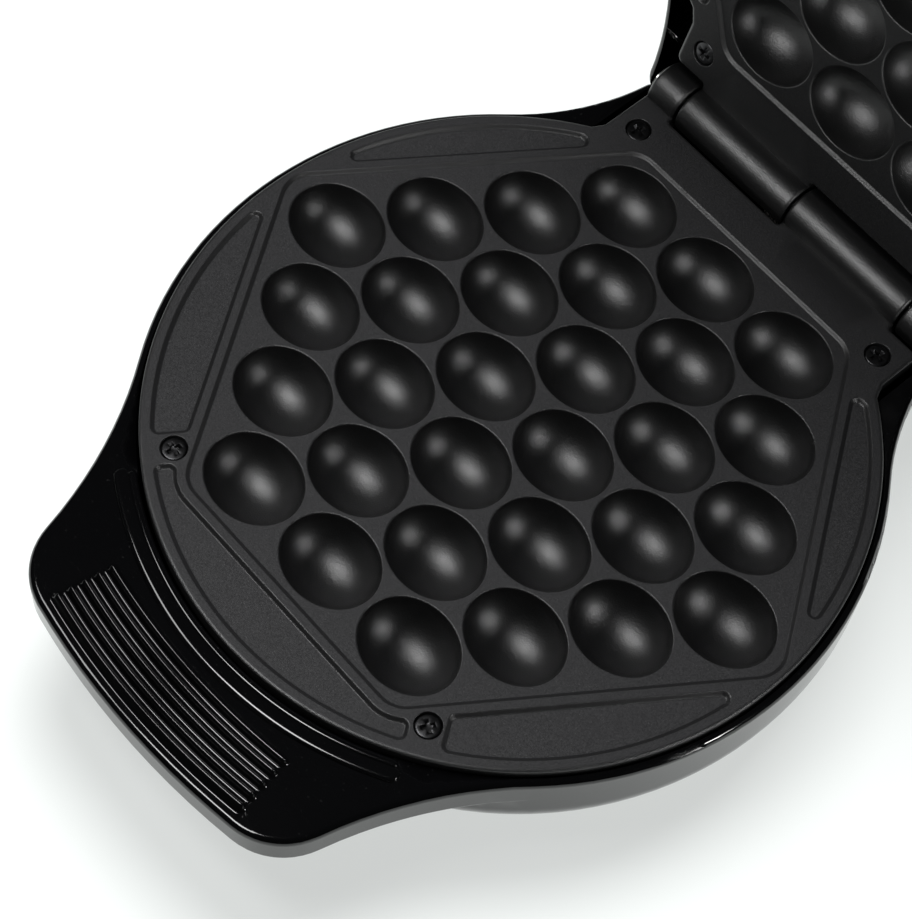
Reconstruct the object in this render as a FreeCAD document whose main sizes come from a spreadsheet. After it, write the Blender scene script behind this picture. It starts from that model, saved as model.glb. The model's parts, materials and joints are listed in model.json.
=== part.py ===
import FreeCAD, Part
import math
import os
import re
from types import SimpleNamespace

# Bubble waffle maker with its lid open on the stop, in millimetres, +Z up.
# The origin lies on the plane the feet stand on, under the middle of the cooking field.
# +Y runs to the hinge at the back, -Y to the handle, and X runs along the hinge.
# Both halves are drawn face up in the place of the lower one. The pieces of the upper
# half are then turned over and swung open about the hinge by one shared placement.

SIZES = {
    # Heights and the hinge
    "parting_height": 46.0,
    "parting_gap": 0.4,
    "hinge_back": 107.5,
    "lid_open_angle": 105.8,
    # Cooking plate, one casting used twice
    "plate_radius": 102.4,
    "disc_forward": 4.0,
    "plate_thickness": 6.0,
    "ear_half_width": 57.0,
    "ear_back": 99.5,
    "well_pitch": 32.0,
    "row_pitch": 23.2,
    "well_half_length": 15.0,
    "well_half_width": 12.6,
    "well_depth": 13.0,
    "well_wall": 1.7,
    "cap_bite": 0.15,
    "field_step": 0.8,
    "field_margin": 2.7,
    "field_corner": 43.0,
    "field_round": 9.0,
    "pocket_rim": 3.7,
    "pocket_depth": 0.7,
    "pocket_land": 3.4,
    "pocket_screw_land": 6.8,
    "pocket_ear_land": 24.0,
    "pocket_round": 1.8,
    # Knuckles of the plate casting and the pin
    "knuckle_radius": 7.6,
    "knuckle_reach": 45.2,
    "knuckle_side_gap": 0.35,
    "notch_clearance": 9.2,
    "pin_radius": 2.5,
    "running_clearance": 0.05,
    "pin_overhang": 1.6,
    "pin_end_gap": 0.2,
    "clip_radius": 4.6,
    "clip_thickness": 0.9,
    "clip_gap": 0.3,
    # Plate screws, two in front and two in the ears
    "front_screw_side": 52.5,
    "front_screw_forward": 80.8,
    "rear_screw_side": 49.3,
    "rear_screw_back": 89.6,
    "screw_head_radius": 3.5,
    "screw_head_height": 2.1,
    "screw_recess_radius": 4.3,
    "screw_recess_depth": 2.6,
    "screw_shank_radius": 1.9,
    "screw_clearance": 0.3,
    "screw_length": 14.0,
    "cross_length": 4.4,
    "cross_width": 1.0,
    "cross_depth": 1.4,
    "post_radius": 5.2,
    # Casings
    "plate_gap": 0.8,
    "shell_wall": 2.2,
    "rim_drop": 2.4,
    "rim_round": 2.1,
    "handle_thickness": 12.0,
    "bowl_round": 22.0,
    "bowl_bottom": 5.0,
    "grip_length": 30.35,
    "handle_front_radius": 237.5,
    "handle_corner_radius": 20.9,
    "handle_corner_side": 36.7,
    "handle_flank_radius": 133.8,
    "base_flare_angle": 41.0,
    "base_back_side": 61.0,
    "base_back": 107.0,
    "lid_flare_angle": 38.0,
    "lid_back_side": 65.2,
    "lid_back_cover": 8.2,
    "lid_corner_round": 7.0,
    "base_corner_round": 3.0,
    "box_inset": 2.0,
    "box_corner_round": 7.0,
    "box_floor_round": 6.0,
    "box_inner_corner": 3.0,
    "box_inner_floor": 2.0,
    "barrel_clearance": 0.8,
    "ear_clearance": 2.5,
    "flange_thickness": 2.6,
    # Raised ribs of the grip, the raised band and the channel beside the plate
    "rib_count": 5,
    "rib_first": 5.3,
    "rib_pitch": 4.05,
    "rib_width": 2.8,
    "rib_height": 0.8,
    "rib_half_angle": 9.4,
    "band_offset": 2.2,
    "band_width": 4.0,
    "band_height": 1.0,
    "band_half_angle": 31.0,
    "channel_offset": 1.4,
    "channel_width": 2.3,
    "channel_depth": 3.0,
    "channel_half_angle": 30.2,
    "ear_rib_thickness": 1.6,
    "ear_rib_depth": 11.0,
    "ear_rib_back": 94.0,
    # Feet
    "foot_radius": 8.0,
    "foot_stem_radius": 3.0,
    "foot_head_radius": 4.2,
    "foot_head_height": 1.6,
    "front_foot_side": 52.0,
    "front_foot_forward": 62.0,
    "rear_foot_side": 38.0,
    "rear_foot_back": 93.5,
    # Heating element, its lugs, straps and ends
    "element_ring_radius": 52.0,
    "element_tube_radius": 3.25,
    "element_bulge_gap": 0.35,
    "element_clearance": 0.05,
    "element_end_side": 9.0,
    "element_bend_radius": 8.0,
    "element_end_back": 64.0,
    "bead_length": 5.0,
    "element_pin_radius": 1.5,
    "element_pin_length": 9.0,
    "lug_radius": 9.6,
    "lug_angle": 30.0,
    "strap_thickness": 1.5,
    "strap_width": 8.0,
    "strap_screw_offset": 6.3,
    "small_screw_radius": 1.25,
    "small_head_radius": 2.6,
    "small_head_height": 1.8,
    "small_screw_depth": 5.5,
    # Reflector
    "reflector_radius": 75.0,
    "reflector_thickness": 0.8,
    "reflector_height": 16.5,
    "reflector_rim_height": 5.0,
    "reflector_rim_flare": 2.0,
    "reflector_notch_side": 15.0,
    "standoff_radius": 4.5,
    "standoff_place": 46.0,
    # Thermostat, fuse and wiring
    "pad_half_length": 16.0,
    "pad_half_width": 10.0,
    "pad_drop": 1.2,
    "thermostat_radius": 7.6,
    "thermostat_height": 7.4,
    "bracket_thickness": 0.8,
    "bracket_screw_side": 12.4,
    "tab_length": 5.0,
    "tab_root": 1.0,
    "tab_width": 2.4,
    "tab_thickness": 0.8,
    "fuse_radius": 2.0,
    "fuse_length": 12.0,
    "fuse_back": 34.0,
    "clip_sheet": 1.0,
    "clip_width": 5.0,
    "clip_foot": 8.0,
    "block_half_width": 15.0,
    "block_front": 84.0,
    "block_length": 12.0,
    "block_height": 12.0,
    "block_screw_side": 7.0,
    "block_screw_length": 4.0,
    "block_screw_sink": 1.0,
    "lead_radius": 1.2,
    "lead_bend": 4.5,
    "lead_lift": 2.6,
    "lead_entry": 8.0,
    "lead_drop": 9.0,
    "lead_level": 4.0,
    "control_side": 3.0,
    "lead_loop_side": 24.0,
    "lead_loop_front": 26.0,
    "lead_loop_back": 52.0,
    # Clamp for the leads in the lid
    "rest_height": 8.2,
    "clamp_half_width": 17.0,
    "clamp_length": 8.0,
    "clamp_thickness": 3.0,
    "clamp_screw_side": 14.0,
    "lead_tail": 3.0,
    # Mains gland in the back wall
    "gland_side": 30.0,
    "gland_height": 20.0,
    "gland_flange_radius": 7.5,
    "gland_flange_thickness": 2.5,
    "gland_neck_radius": 5.5,
    "gland_neck_lip": 1.5,
    "gland_bore_radius": 3.2,
}

ROWS = [3, 4, 5, 6, 5, 4, 3]

doc = FreeCAD.newDocument("bubble_waffle_maker")
sheet = doc.addObject("Spreadsheet::Sheet", "Sizes")
for line, (name, number) in enumerate(SIZES.items(), 1):
    sheet.set(f"A{line}", name)
    sheet.set(f"B{line}", str(number))
    sheet.setAlias(f"B{line}", name)
doc.recompute()
v = SimpleNamespace(**{name: float(sheet.get(name)) for name in SIZES})

# Places worked out from the driving sizes
face = v.parting_height
underside = face - v.plate_thickness
field_floor = face - v.field_step
hinge_height = face + v.parting_gap / 2
rim = face - v.rim_drop
casing_radius = v.plate_radius + v.plate_gap + v.shell_wall
channel_radius = v.plate_radius + v.channel_offset
band_radius = casing_radius + v.band_offset
pocket_radius = v.plate_radius - v.pocket_rim
handle_reach = v.disc_forward + casing_radius + v.grip_length
bulge_bottom = field_floor - v.well_depth - v.well_wall
tube_height = bulge_bottom - v.element_bulge_gap - v.element_tube_radius
lug_bottom = tube_height - v.element_tube_radius
shell_floor = v.bowl_bottom + v.shell_wall
reflector_top = v.reflector_height + v.reflector_thickness
lead_height = reflector_top + v.lead_lift
pin_end = v.element_end_back + v.element_pin_length
clamp_bottom = v.bowl_bottom + v.rest_height
X, Y, Z = FreeCAD.Vector(1, 0, 0), FreeCAD.Vector(0, 1, 0), FreeCAD.Vector(0, 0, 1)


# Helpers for bound objects

def formula(text):
    """Put the sheet's name before each size named in the text."""
    def qualify(match):
        word = match.group(0)
        return "Sizes." + word if word in SIZES else word
    return re.sub(r"[a-z_]+", qualify, str(text))


def bind(item, **formulas):
    for prop, text in formulas.items():
        item.setExpression(prop, formula(text))
    return item


def place(item, x=0, y=0, z=0):
    for axis, text in (("x", x), ("y", y), ("z", z)):
        item.setExpression("Placement.Base." + axis, formula(text))
    return item


def box(name, length, width, height, x=0, y=0, z=0):
    item = doc.addObject("Part::Box", name)
    bind(item, Length=length, Width=width, Height=height)
    return place(item, x, y, z)


def cylinder(name, radius, height, x=0, y=0, z=0, axis=Z):
    item = doc.addObject("Part::Cylinder", name)
    item.Placement.Rotation = FreeCAD.Rotation(Z, axis)
    bind(item, Radius=radius, Height=height)
    return place(item, x, y, z)


def fuse(name, items):
    item = doc.addObject("Part::MultiFuse", name)
    item.Shapes = items
    return item


def cut(name, base, tool):
    item = doc.addObject("Part::Cut", name)
    item.Base = base
    item.Tool = tool
    return item


def group(name, items):
    item = doc.addObject("Part::Compound", name)
    item.Links = items
    return item


def shaped(name, shape):
    item = doc.addObject("Part::Feature", name)
    item.Shape = shape
    return item


def label(item, node):
    item.Label = node
    return item


# Helpers for outlines

def point(centre, radius, angle, z=0.0):
    turn = math.radians(angle)
    return FreeCAD.Vector(centre[0] + radius * math.cos(turn), centre[1] + radius * math.sin(turn), z)


def arc(centre, radius, start, end, z=0.0):
    """Arc from one angle to another in degrees, the way the numbers run."""
    places = [point(centre, radius, angle, z) for angle in (start, (start + end) / 2, end)]
    return Part.Arc(*places).toShape()


def angle_to(centre, spot):
    return math.degrees(math.atan2(spot[1] - centre[1], spot[0] - centre[0]))


def slot(centre, radius, middle, half_angle, width, bottom, height):
    """Curved slot with round ends, as a solid: a band of a ring about the centre."""
    low, high = radius - width / 2, radius + width / 2
    start, end = middle - half_angle, middle + half_angle
    edges = [arc(centre, high, start, end, bottom)]
    edges.append(arc(point(centre, radius, end), width / 2, end, end + 180, bottom))
    edges.append(arc(centre, low, end, start, bottom))
    edges.append(arc(point(centre, radius, start), width / 2, start + 180, start + 360, bottom))
    return Part.Face(Part.Wire(edges)).extrude(Z * height)


def rounded_prism(corners, radius, bottom, height):
    """Upright prism on a convex outline whose corners are rounded with one radius."""
    edges = []
    ends = []
    total = len(corners)
    for index in range(total):
        here = FreeCAD.Vector(*corners[index], bottom)
        before = FreeCAD.Vector(*corners[index - 1], bottom)
        after = FreeCAD.Vector(*corners[(index + 1) % total], bottom)
        back, ahead = (before - here).normalize(), (after - here).normalize()
        half = back.getAngle(ahead) / 2
        reach = radius / math.tan(half)
        centre = here + (back + ahead).normalize() * (radius / math.sin(half))
        middle = centre + (here - centre).normalize() * radius
        ends.append((here + back * reach, middle, here + ahead * reach))
    for index, (start, middle, end) in enumerate(ends):
        edges.append(Part.Arc(start, middle, end).toShape())
        edges.append(Part.LineSegment(end, ends[(index + 1) % total][0]).toShape())
    return Part.Face(Part.Wire(edges)).extrude(Z * height)


def ring_solid(outline, forward):
    """Solid of revolution about the upright axis of the round casing."""
    wire = Part.makePolygon([FreeCAD.Vector(r, -forward, z) for r, z in outline + outline[:1]])
    return Part.Face(wire).revolve(FreeCAD.Vector(0, -forward, 0), Z, 360)


# Cooking plate

def field_outline(spread):
    """Corners of the hexagonal cooking field, spread outward by a distance."""
    half_depth = 3 * v.row_pitch + v.well_half_width + v.field_margin
    slope = (v.well_pitch / 2) / v.row_pitch
    slant = math.hypot(1.0, slope)
    side = v.field_corner + half_depth * slope + spread * slant
    depth = half_depth + spread
    front = side - depth * slope
    return [(-side, 0), (-front, -depth), (front, -depth), (side, 0), (front, depth), (-front, depth)]


def well_places():
    """Column and row step of each well, as multiples of the two pitches."""
    for row, count in enumerate(ROWS):
        for column in range(count):
            yield column - (count - 1) / 2, 3 - row


def screw_places():
    front = [(side + "front_screw_side", "-front_screw_forward") for side in ("-", "")]
    rear = [(side + "rear_screw_side", "rear_screw_back") for side in ("-", "")]
    return front + rear


def screw_spots():
    """The same four places as numbers."""
    front = [(side * v.front_screw_side, -v.front_screw_forward) for side in (-1, 1)]
    rear = [(side * v.rear_screw_side, v.rear_screw_back) for side in (-1, 1)]
    return front + rear


def wells(name, outer):
    """The egg-shaped hollows, or the thicker caps that carry their walls below the plate."""
    wall = " + well_wall" if outer else ""
    items = []
    for column, row in well_places():
        item = doc.addObject("Part::Ellipsoid", name)
        bind(item, Radius1="well_depth" + wall, Radius2="well_half_length" + wall)
        bind(item, Radius3="well_half_width" + wall)
        if outer:
            start = (v.plate_thickness - v.field_step - v.cap_bite) / (v.well_depth + v.well_wall)
            item.Angle2 = -math.degrees(math.asin(start))
        items.append(place(item, f"{column} * well_pitch", f"{row} * row_pitch",
                           "parting_height - field_step"))
    return items


def knuckles(name, radius):
    """Barrels of the casting: a long one on the right of the middle, a short one on the left end."""
    spans = [
        ("knuckle_side_gap", "knuckle_reach - knuckle_side_gap"),
        ("-ear_half_width", "ear_half_width - knuckle_reach - 2 * knuckle_side_gap"),
    ]
    height = "parting_height + parting_gap / 2"
    items = []
    for start, length in spans:
        items.append(cylinder(name, radius, length, start, "hinge_back", height, X))
        items.append(box(name + "_web", length, "hinge_back - ear_back + 1", "plate_thickness",
                         start, "ear_back - 1", "parting_height - plate_thickness"))
    return items


def lug_spots():
    """Four places on the element ring where lugs and straps hold it."""
    angles = [v.lug_angle, 180 - v.lug_angle, 180 + v.lug_angle, 360 - v.lug_angle]
    return [(angle, point((0, 0), v.element_ring_radius, angle)) for angle in angles]


def lug_screws(radius, bottom, height):
    """Upright cylinders inside and outside the element ring at each lug."""
    solids = []
    for angle, _ in lug_spots():
        for offset in (-v.strap_screw_offset, v.strap_screw_offset):
            foot = point((0, 0), v.element_ring_radius + offset, angle, bottom)
            solids.append(Part.makeCylinder(radius, height, foot))
    return solids


def pad_screws(radius, bottom, height):
    spots = [FreeCAD.Vector(side * v.bracket_screw_side, 0, bottom) for side in (-1, 1)]
    return [Part.makeCylinder(radius, height, spot) for spot in spots]


def casting_lugs():
    """Lugs for the element and the flat pad for the thermostat, under the plate."""
    solids = [Part.makeCylinder(v.lug_radius, underside - lug_bottom + v.cap_bite,
                                FreeCAD.Vector(spot.x, spot.y, lug_bottom)) for _, spot in lug_spots()]
    bottom = bulge_bottom - v.pad_drop
    solids.append(Part.makeBox(2 * v.pad_half_length, 2 * v.pad_half_width, underside - bottom + v.cap_bite,
                               FreeCAD.Vector(-v.pad_half_length, -v.pad_half_width, bottom)))
    return [shaped("casting_lug", solid) for solid in solids]


def plate_recesses():
    """Sunken cooking field and the five shallow pockets around it."""
    field = rounded_prism(field_outline(0), v.field_round, field_floor, v.field_step + 1)
    bottom = face - v.pocket_depth
    height = v.pocket_depth + 1
    centre = FreeCAD.Vector(0, -v.disc_forward, bottom)
    pockets = Part.makeCylinder(pocket_radius, height, centre)
    blockers = [rounded_prism(field_outline(v.pocket_land), v.field_round, bottom, height)]
    for x, y in screw_spots():
        blockers.append(Part.makeCylinder(v.pocket_screw_land, height, FreeCAD.Vector(x, y, bottom)))
    reach = v.plate_radius
    blockers.append(Part.makeBox(2 * reach, reach, height,
                                 FreeCAD.Vector(-reach, v.ear_back - v.pocket_ear_land, bottom)))
    pockets = pockets.cut(blockers)
    rounded = []
    for solid in pockets.Solids:
        upright = [edge for edge in solid.Edges if is_upright(edge) and edge.Length > v.pocket_depth]
        rounded.append(solid.makeFillet(v.pocket_round, upright))
    return [shaped("plate_recess", solid) for solid in [field] + rounded]


def is_upright(edge):
    if edge.Curve.TypeId != "Part::GeomLine":
        return False
    return abs(edge.tangentAt(edge.FirstParameter).z) > 0.99


def cooking_plate():
    height = "parting_height - plate_thickness"
    disc = cylinder("plate_disc", "plate_radius", "plate_thickness", 0, "-disc_forward", height)
    ears = box("plate_ears", "2 * ear_half_width", "ear_back", "plate_thickness",
               "-ear_half_width", 0, height)
    solid = fuse("plate_solid", [disc, ears] + casting_lugs() + knuckles("knuckle", "knuckle_radius")
                 + wells("well_cap", True))
    holes = plate_recesses()
    for start, length in (("-knuckle_reach - knuckle_side_gap", "knuckle_reach + knuckle_side_gap"),
                          ("knuckle_reach + knuckle_side_gap", "ear_half_width - knuckle_reach")):
        holes.append(box("knuckle_notch", length, "notch_clearance + 10", "plate_thickness + 2",
                         start, "hinge_back - notch_clearance", height + " - 1"))
    for x, y in screw_places():
        holes.append(cylinder("screw_hole", "screw_shank_radius + screw_clearance", "plate_thickness + 2",
                              x, y, height + " - 1"))
    holes += [shaped("lug_hole", hole) for hole in lug_screws(
        v.small_screw_radius, lug_bottom - 1, v.small_screw_depth + 1)]
    holes += [shaped("pad_hole", hole) for hole in pad_screws(
        v.small_screw_radius, bulge_bottom - v.pad_drop - 1, v.small_screw_depth)]
    holes.append(cylinder("pin_bore", "pin_radius + running_clearance", "2 * ear_half_width + 4",
                          "-ear_half_width - 2", "hinge_back", "parting_height + parting_gap / 2", X))
    recesses = [cylinder("screw_recess", "screw_recess_radius", "screw_recess_depth + 1", x, y,
                         "parting_height - screw_recess_depth") for x, y in screw_places()]
    groove = shaped("element_groove", element_ring_sweep(v.element_tube_radius + v.element_clearance))
    machined = cut("plate_machined", solid, group("plate_holes", holes))
    seated = cut("plate_seated", machined, group("plate_seats", recesses + [groove]))
    return cut("lower_plate", seated, group("plate_wells", wells("well", False)))


# Heating element

def element_path():
    """Horseshoe: two straight ends at the back, joined to the ring by small bends."""
    bend = v.element_bend_radius
    side = v.element_end_side + bend
    back = math.sqrt((v.element_ring_radius + bend) ** 2 - side ** 2)
    reach = v.element_ring_radius / (v.element_ring_radius + bend)
    meets = math.degrees(math.atan2(back, -side))
    inward = angle_to((-side, back), (-side * reach, back * reach))
    left_bend = arc((-side, back), bend, 0, inward, tube_height)
    inward = angle_to((side, back), (side * reach, back * reach))
    right_bend = arc((side, back), bend, inward, -180, tube_height)
    ring = arc((0, 0), v.element_ring_radius, meets, 540 - meets, tube_height)
    left_end = Part.LineSegment(FreeCAD.Vector(-v.element_end_side, v.element_end_back, tube_height),
                                FreeCAD.Vector(-v.element_end_side, back, tube_height)).toShape()
    right_end = Part.LineSegment(FreeCAD.Vector(v.element_end_side, back, tube_height),
                                 FreeCAD.Vector(v.element_end_side, v.element_end_back,
                                                tube_height)).toShape()
    return Part.Wire([left_end, left_bend, ring, right_bend, right_end])


def sweep(path, radius):
    """Round tube along a path of lines and tangent arcs."""
    first = path.OrderedEdges[0]
    start = path.OrderedVertexes[0].Point
    ahead = first.tangentAt(first.FirstParameter)
    if (first.valueAt(first.FirstParameter) - start).Length > 1e-6:
        ahead = first.tangentAt(first.LastParameter) * -1
    circle = Part.Wire(Part.makeCircle(radius, start, ahead))
    return path.makePipeShell([circle], True, False)


def element_ring_sweep(radius):
    return sweep(element_path(), radius)


def heating_element():
    return shaped("lower_element", element_ring_sweep(v.element_tube_radius))


def element_ends():
    """Ceramic beads and terminal pins on the two ends of the element."""
    height = tube_height
    pins, beads = [], []
    for side in (-v.element_end_side, v.element_end_side):
        start = FreeCAD.Vector(side, v.element_end_back, height)
        pin = Part.makeCylinder(v.element_pin_radius, v.element_pin_length, start, Y)
        bead = Part.makeCylinder(v.element_tube_radius, v.bead_length, start, Y)
        hole = Part.makeCylinder(v.element_pin_radius + v.running_clearance, v.bead_length, start, Y)
        pins.append(pin)
        beads.append(bead.cut(hole))
    return (shaped("lower_element_pins", Part.makeCompound(pins)),
            shaped("lower_element_beads", Part.makeCompound(beads)))


def element_straps():
    """Flat straps across the lugs, and the screws that hold them."""
    bottom = lug_bottom - v.strap_thickness
    half = v.strap_screw_offset + v.small_head_radius + 0.4
    straps = []
    for angle, spot in lug_spots():
        plate = Part.makeBox(2 * half, v.strap_width, v.strap_thickness,
                             FreeCAD.Vector(-half, -v.strap_width / 2, 0))
        plate.rotate(FreeCAD.Vector(0, 0, 0), Z, angle)
        plate.translate(FreeCAD.Vector(spot.x, spot.y, bottom))
        straps.append(plate)
    holes = lug_screws(v.small_screw_radius + v.running_clearance, bottom - 1, v.strap_thickness + 2)
    straps = Part.makeCompound(straps).cut(holes)
    shanks = lug_screws(v.small_screw_radius - v.running_clearance, bottom, v.small_screw_depth)
    heads = lug_screws(v.small_head_radius, bottom - v.small_head_height, v.small_head_height)
    screws = [shank.fuse(head) for shank, head in zip(shanks, heads)]
    return shaped("lower_element_straps", straps), shaped("lower_strap_screws", Part.makeCompound(screws))


# Screws that hold the plates to their casings

def plate_screws():
    items = []
    top = "parting_height - screw_recess_depth + screw_head_height"
    for x, y in screw_places():
        head = cylinder("screw_head", "screw_head_radius", "screw_head_height", x, y,
                        "parting_height - screw_recess_depth")
        shank = cylinder("screw_shank", "screw_shank_radius", "screw_length", x, y,
                         "parting_height - screw_recess_depth - screw_length")
        slots = []
        for length, width in (("cross_length", "cross_width"), ("cross_width", "cross_length")):
            slots.append(box("screw_cross", length, width, "cross_depth + 1", f"{x} - {length} / 2",
                             f"{y} - {width} / 2", top + " - cross_depth"))
        items.append(cut("plate_screw", fuse("screw_body", [head, shank]), fuse("screw_slots", slots)))
    return group("lower_plate_screws", items)


# Casings

def disc_centre():
    return (0.0, -v.disc_forward)


def circles_meet(first, first_radius, second, second_radius):
    """Right-hand crossing of two circles."""
    run, rise = second[0] - first[0], second[1] - first[1]
    apart = math.hypot(run, rise)
    along = (first_radius ** 2 - second_radius ** 2 + apart ** 2) / (2 * apart)
    across = math.sqrt(first_radius ** 2 - along ** 2)
    ux, uy = run / apart, rise / apart
    spots = [(first[0] + ux * along - sign * uy * across, first[1] + uy * along + sign * ux * across)
             for sign in (-1, 1)]
    return max(spots)


def casing_outline(flare_angle, back_side, back):
    """Outline of a casing half seen from above: grip, flanks, round body and hinge shoulders."""
    middle = disc_centre()
    front = (0.0, v.handle_front_radius - handle_reach)
    inner = v.handle_front_radius - v.handle_corner_radius
    corner = (v.handle_corner_side, front[1] - math.sqrt(inner ** 2 - v.handle_corner_side ** 2))
    flank = circles_meet(middle, casing_radius + v.handle_flank_radius,
                         corner, v.handle_corner_radius + v.handle_flank_radius)
    front_end = angle_to(front, corner)
    corner_end = angle_to(corner, flank)
    body_start = angle_to(middle, flank)
    tangent = point(middle, casing_radius, flare_angle)
    end = FreeCAD.Vector(back_side, back, 0)
    gap = tangent - end
    away = point((0, 0), 1.0, flare_angle)
    flare_radius = -gap.dot(gap) / (2 * away.dot(gap))
    flare = tangent + away * flare_radius
    right = [
        arc(corner, v.handle_corner_radius, front_end, corner_end),
        arc(flank, v.handle_flank_radius, corner_end + 180, body_start + 180),
        arc(middle, casing_radius, body_start, flare_angle),
        arc(flare, flare_radius, flare_angle + 180, angle_to(flare, end) % 360),
    ]
    left = [edge.mirror(FreeCAD.Vector(0, 0, 0), X) for edge in right]
    grip = arc(front, v.handle_front_radius, -180 - front_end, front_end)
    back_line = Part.LineSegment(end, FreeCAD.Vector(-back_side, back, 0)).toShape()
    edges = Part.__sortEdges__([grip, back_line] + right + left)
    return Part.Face(Part.Wire(edges))


def vertical_corners(solid, x, y):
    """Upright edges of a solid at plus and minus x and at y."""
    found = []
    for edge in solid.Edges:
        spot = edge.CenterOfMass
        if is_upright(edge) and abs(abs(spot.x) - x) < 0.01 and abs(spot.y - y) < 0.01:
            found.append(edge)
    return found


def level_edges(solid, height):
    """All edges of a solid that lie flat at one height."""
    return [edge for edge in solid.Edges
            if abs(edge.BoundBox.ZMin - height) < 1e-4 and abs(edge.BoundBox.ZMax - height) < 1e-4]


def upper_slab(outline, back_side, back, corner_round):
    """The part of a casing with the rim and the grip, rounded above and below."""
    slab = outline.extrude(Z * v.handle_thickness)
    slab.translate(Z * (rim - v.handle_thickness))
    slab = slab.makeFillet(corner_round, vertical_corners(slab, back_side, back))
    slab = slab.makeFillet(v.rim_round, level_edges(slab, rim))
    return slab.makeFillet(v.rim_round, level_edges(slab, rim - v.handle_thickness))


def bowl(radius, bottom, bend, top):
    """Round dish with a rounded lower edge, about the axis of the plate's disc."""
    low = FreeCAD.Vector(radius - bend, -v.disc_forward, bottom)
    high = FreeCAD.Vector(radius, -v.disc_forward, bottom + bend)
    slant = bend * (1 - math.sqrt(0.5))
    middle = FreeCAD.Vector(radius - slant, -v.disc_forward, bottom + slant)
    axis_low = FreeCAD.Vector(0, -v.disc_forward, bottom)
    axis_high = FreeCAD.Vector(0, -v.disc_forward, top)
    edge_high = FreeCAD.Vector(radius, -v.disc_forward, top)
    edges = [Part.LineSegment(axis_low, low).toShape(), Part.Arc(low, middle, high).toShape(),
             Part.LineSegment(high, edge_high).toShape(), Part.LineSegment(edge_high, axis_high).toShape(),
             Part.LineSegment(axis_high, axis_low).toShape()]
    return Part.Face(Part.Wire(edges)).revolve(axis_low, Z, 360)


def back_box(half_width, back, bottom, top, corner_round, floor_round):
    """Box behind the bowl that carries the hinge side of the casing."""
    solid = Part.makeBox(2 * half_width, back, top - bottom, FreeCAD.Vector(-half_width, 0, bottom))
    solid = solid.makeFillet(corner_round, vertical_corners(solid, half_width, back))
    lower = [edge for edge in level_edges(solid, bottom) if edge.BoundBox.YMax > 1]
    return solid.makeFillet(floor_round, lower)


def posts(outer):
    """Posts that carry the plate screws, and standoffs under the reflector, kept inside the shell."""
    solids = []
    for x, y in screw_spots():
        solids.append(Part.makeCylinder(v.post_radius, underside - v.bowl_bottom,
                                        FreeCAD.Vector(x, y, v.bowl_bottom)))
    for x, y in standoff_spots():
        solids.append(Part.makeCylinder(v.standoff_radius, v.reflector_height - v.bowl_bottom,
                                        FreeCAD.Vector(x, y, v.bowl_bottom)))
    return [shaped("post", solid.common(outer)) for solid in solids]


def standoff_spots():
    place_out = v.standoff_place
    return [(sx * place_out, sy * place_out) for sx in (-1, 1) for sy in (-1, 1)]


def grip_relief():
    """Raised ribs that follow the front edge, and the raised band beside the plate."""
    front = (0.0, v.handle_front_radius - handle_reach)
    solids = []
    for index in range(int(v.rib_count)):
        radius = v.handle_front_radius - v.rib_first - index * v.rib_pitch
        solids.append(slot(front, radius, -90, v.rib_half_angle, v.rib_width, rim - 1, v.rib_height + 1))
    solids.append(slot(disc_centre(), band_radius, -90, v.band_half_angle, v.band_width,
                       rim - 1, v.band_height + 1))
    return [shaped("grip_relief", solid) for solid in solids]


# The two casings differ only at the back, around the hinge
BASE = SimpleNamespace(flare_angle=v.base_flare_angle, back_side=v.base_back_side, back=v.base_back,
                       corner_round=v.base_corner_round, room_top=rim - v.flange_thickness)
LID = SimpleNamespace(flare_angle=v.lid_flare_angle, back_side=v.lid_back_side,
                      back=v.hinge_back + v.lid_back_cover + v.shell_wall,
                      corner_round=v.lid_corner_round, room_top=face)


def casing_outer(half):
    """Outer form of a casing half: grip and rim, round bowl and hinge box."""
    outline = casing_outline(half.flare_angle, half.back_side, half.back)
    slab = upper_slab(outline, half.back_side, half.back, half.corner_round)
    slab_top = rim - v.rim_round
    dish = bowl(casing_radius, v.bowl_bottom, v.bowl_round, slab_top)
    rear = back_box(half.back_side - v.box_inset, half.back, v.bowl_bottom, slab_top,
                    v.box_corner_round, v.box_floor_round)
    return slab.fuse([dish, rear]).removeSplitter()


def casing_room(half):
    """Everything that is hollow in a casing half."""
    wall = v.shell_wall
    room = bowl(casing_radius - wall, shell_floor, v.bowl_round - wall, face)
    rear_room = back_box(half.back_side - v.box_inset - wall, half.back - wall, shell_floor, half.room_top,
                         v.box_inner_corner, v.box_inner_floor)
    shoulder_floor = rim - v.handle_thickness + wall
    outline = casing_outline(half.flare_angle, half.back_side, half.back)
    shoulders = outline.makeOffset2D(-wall).extrude(Z * (half.room_top - shoulder_floor))
    shoulders.translate(Z * shoulder_floor)
    middle = v.plate_radius / 2
    reach = 2 * v.plate_radius
    behind = Part.makeBox(2 * reach, reach, reach, FreeCAD.Vector(-reach, middle, 0))
    channel = slot(disc_centre(), channel_radius, -90, v.channel_half_angle, v.channel_width,
                   rim - v.channel_depth, v.channel_depth + 1)
    return [shaped("casing_room", solid)
            for solid in (room, rear_room, shoulders.common(behind), channel)]


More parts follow.
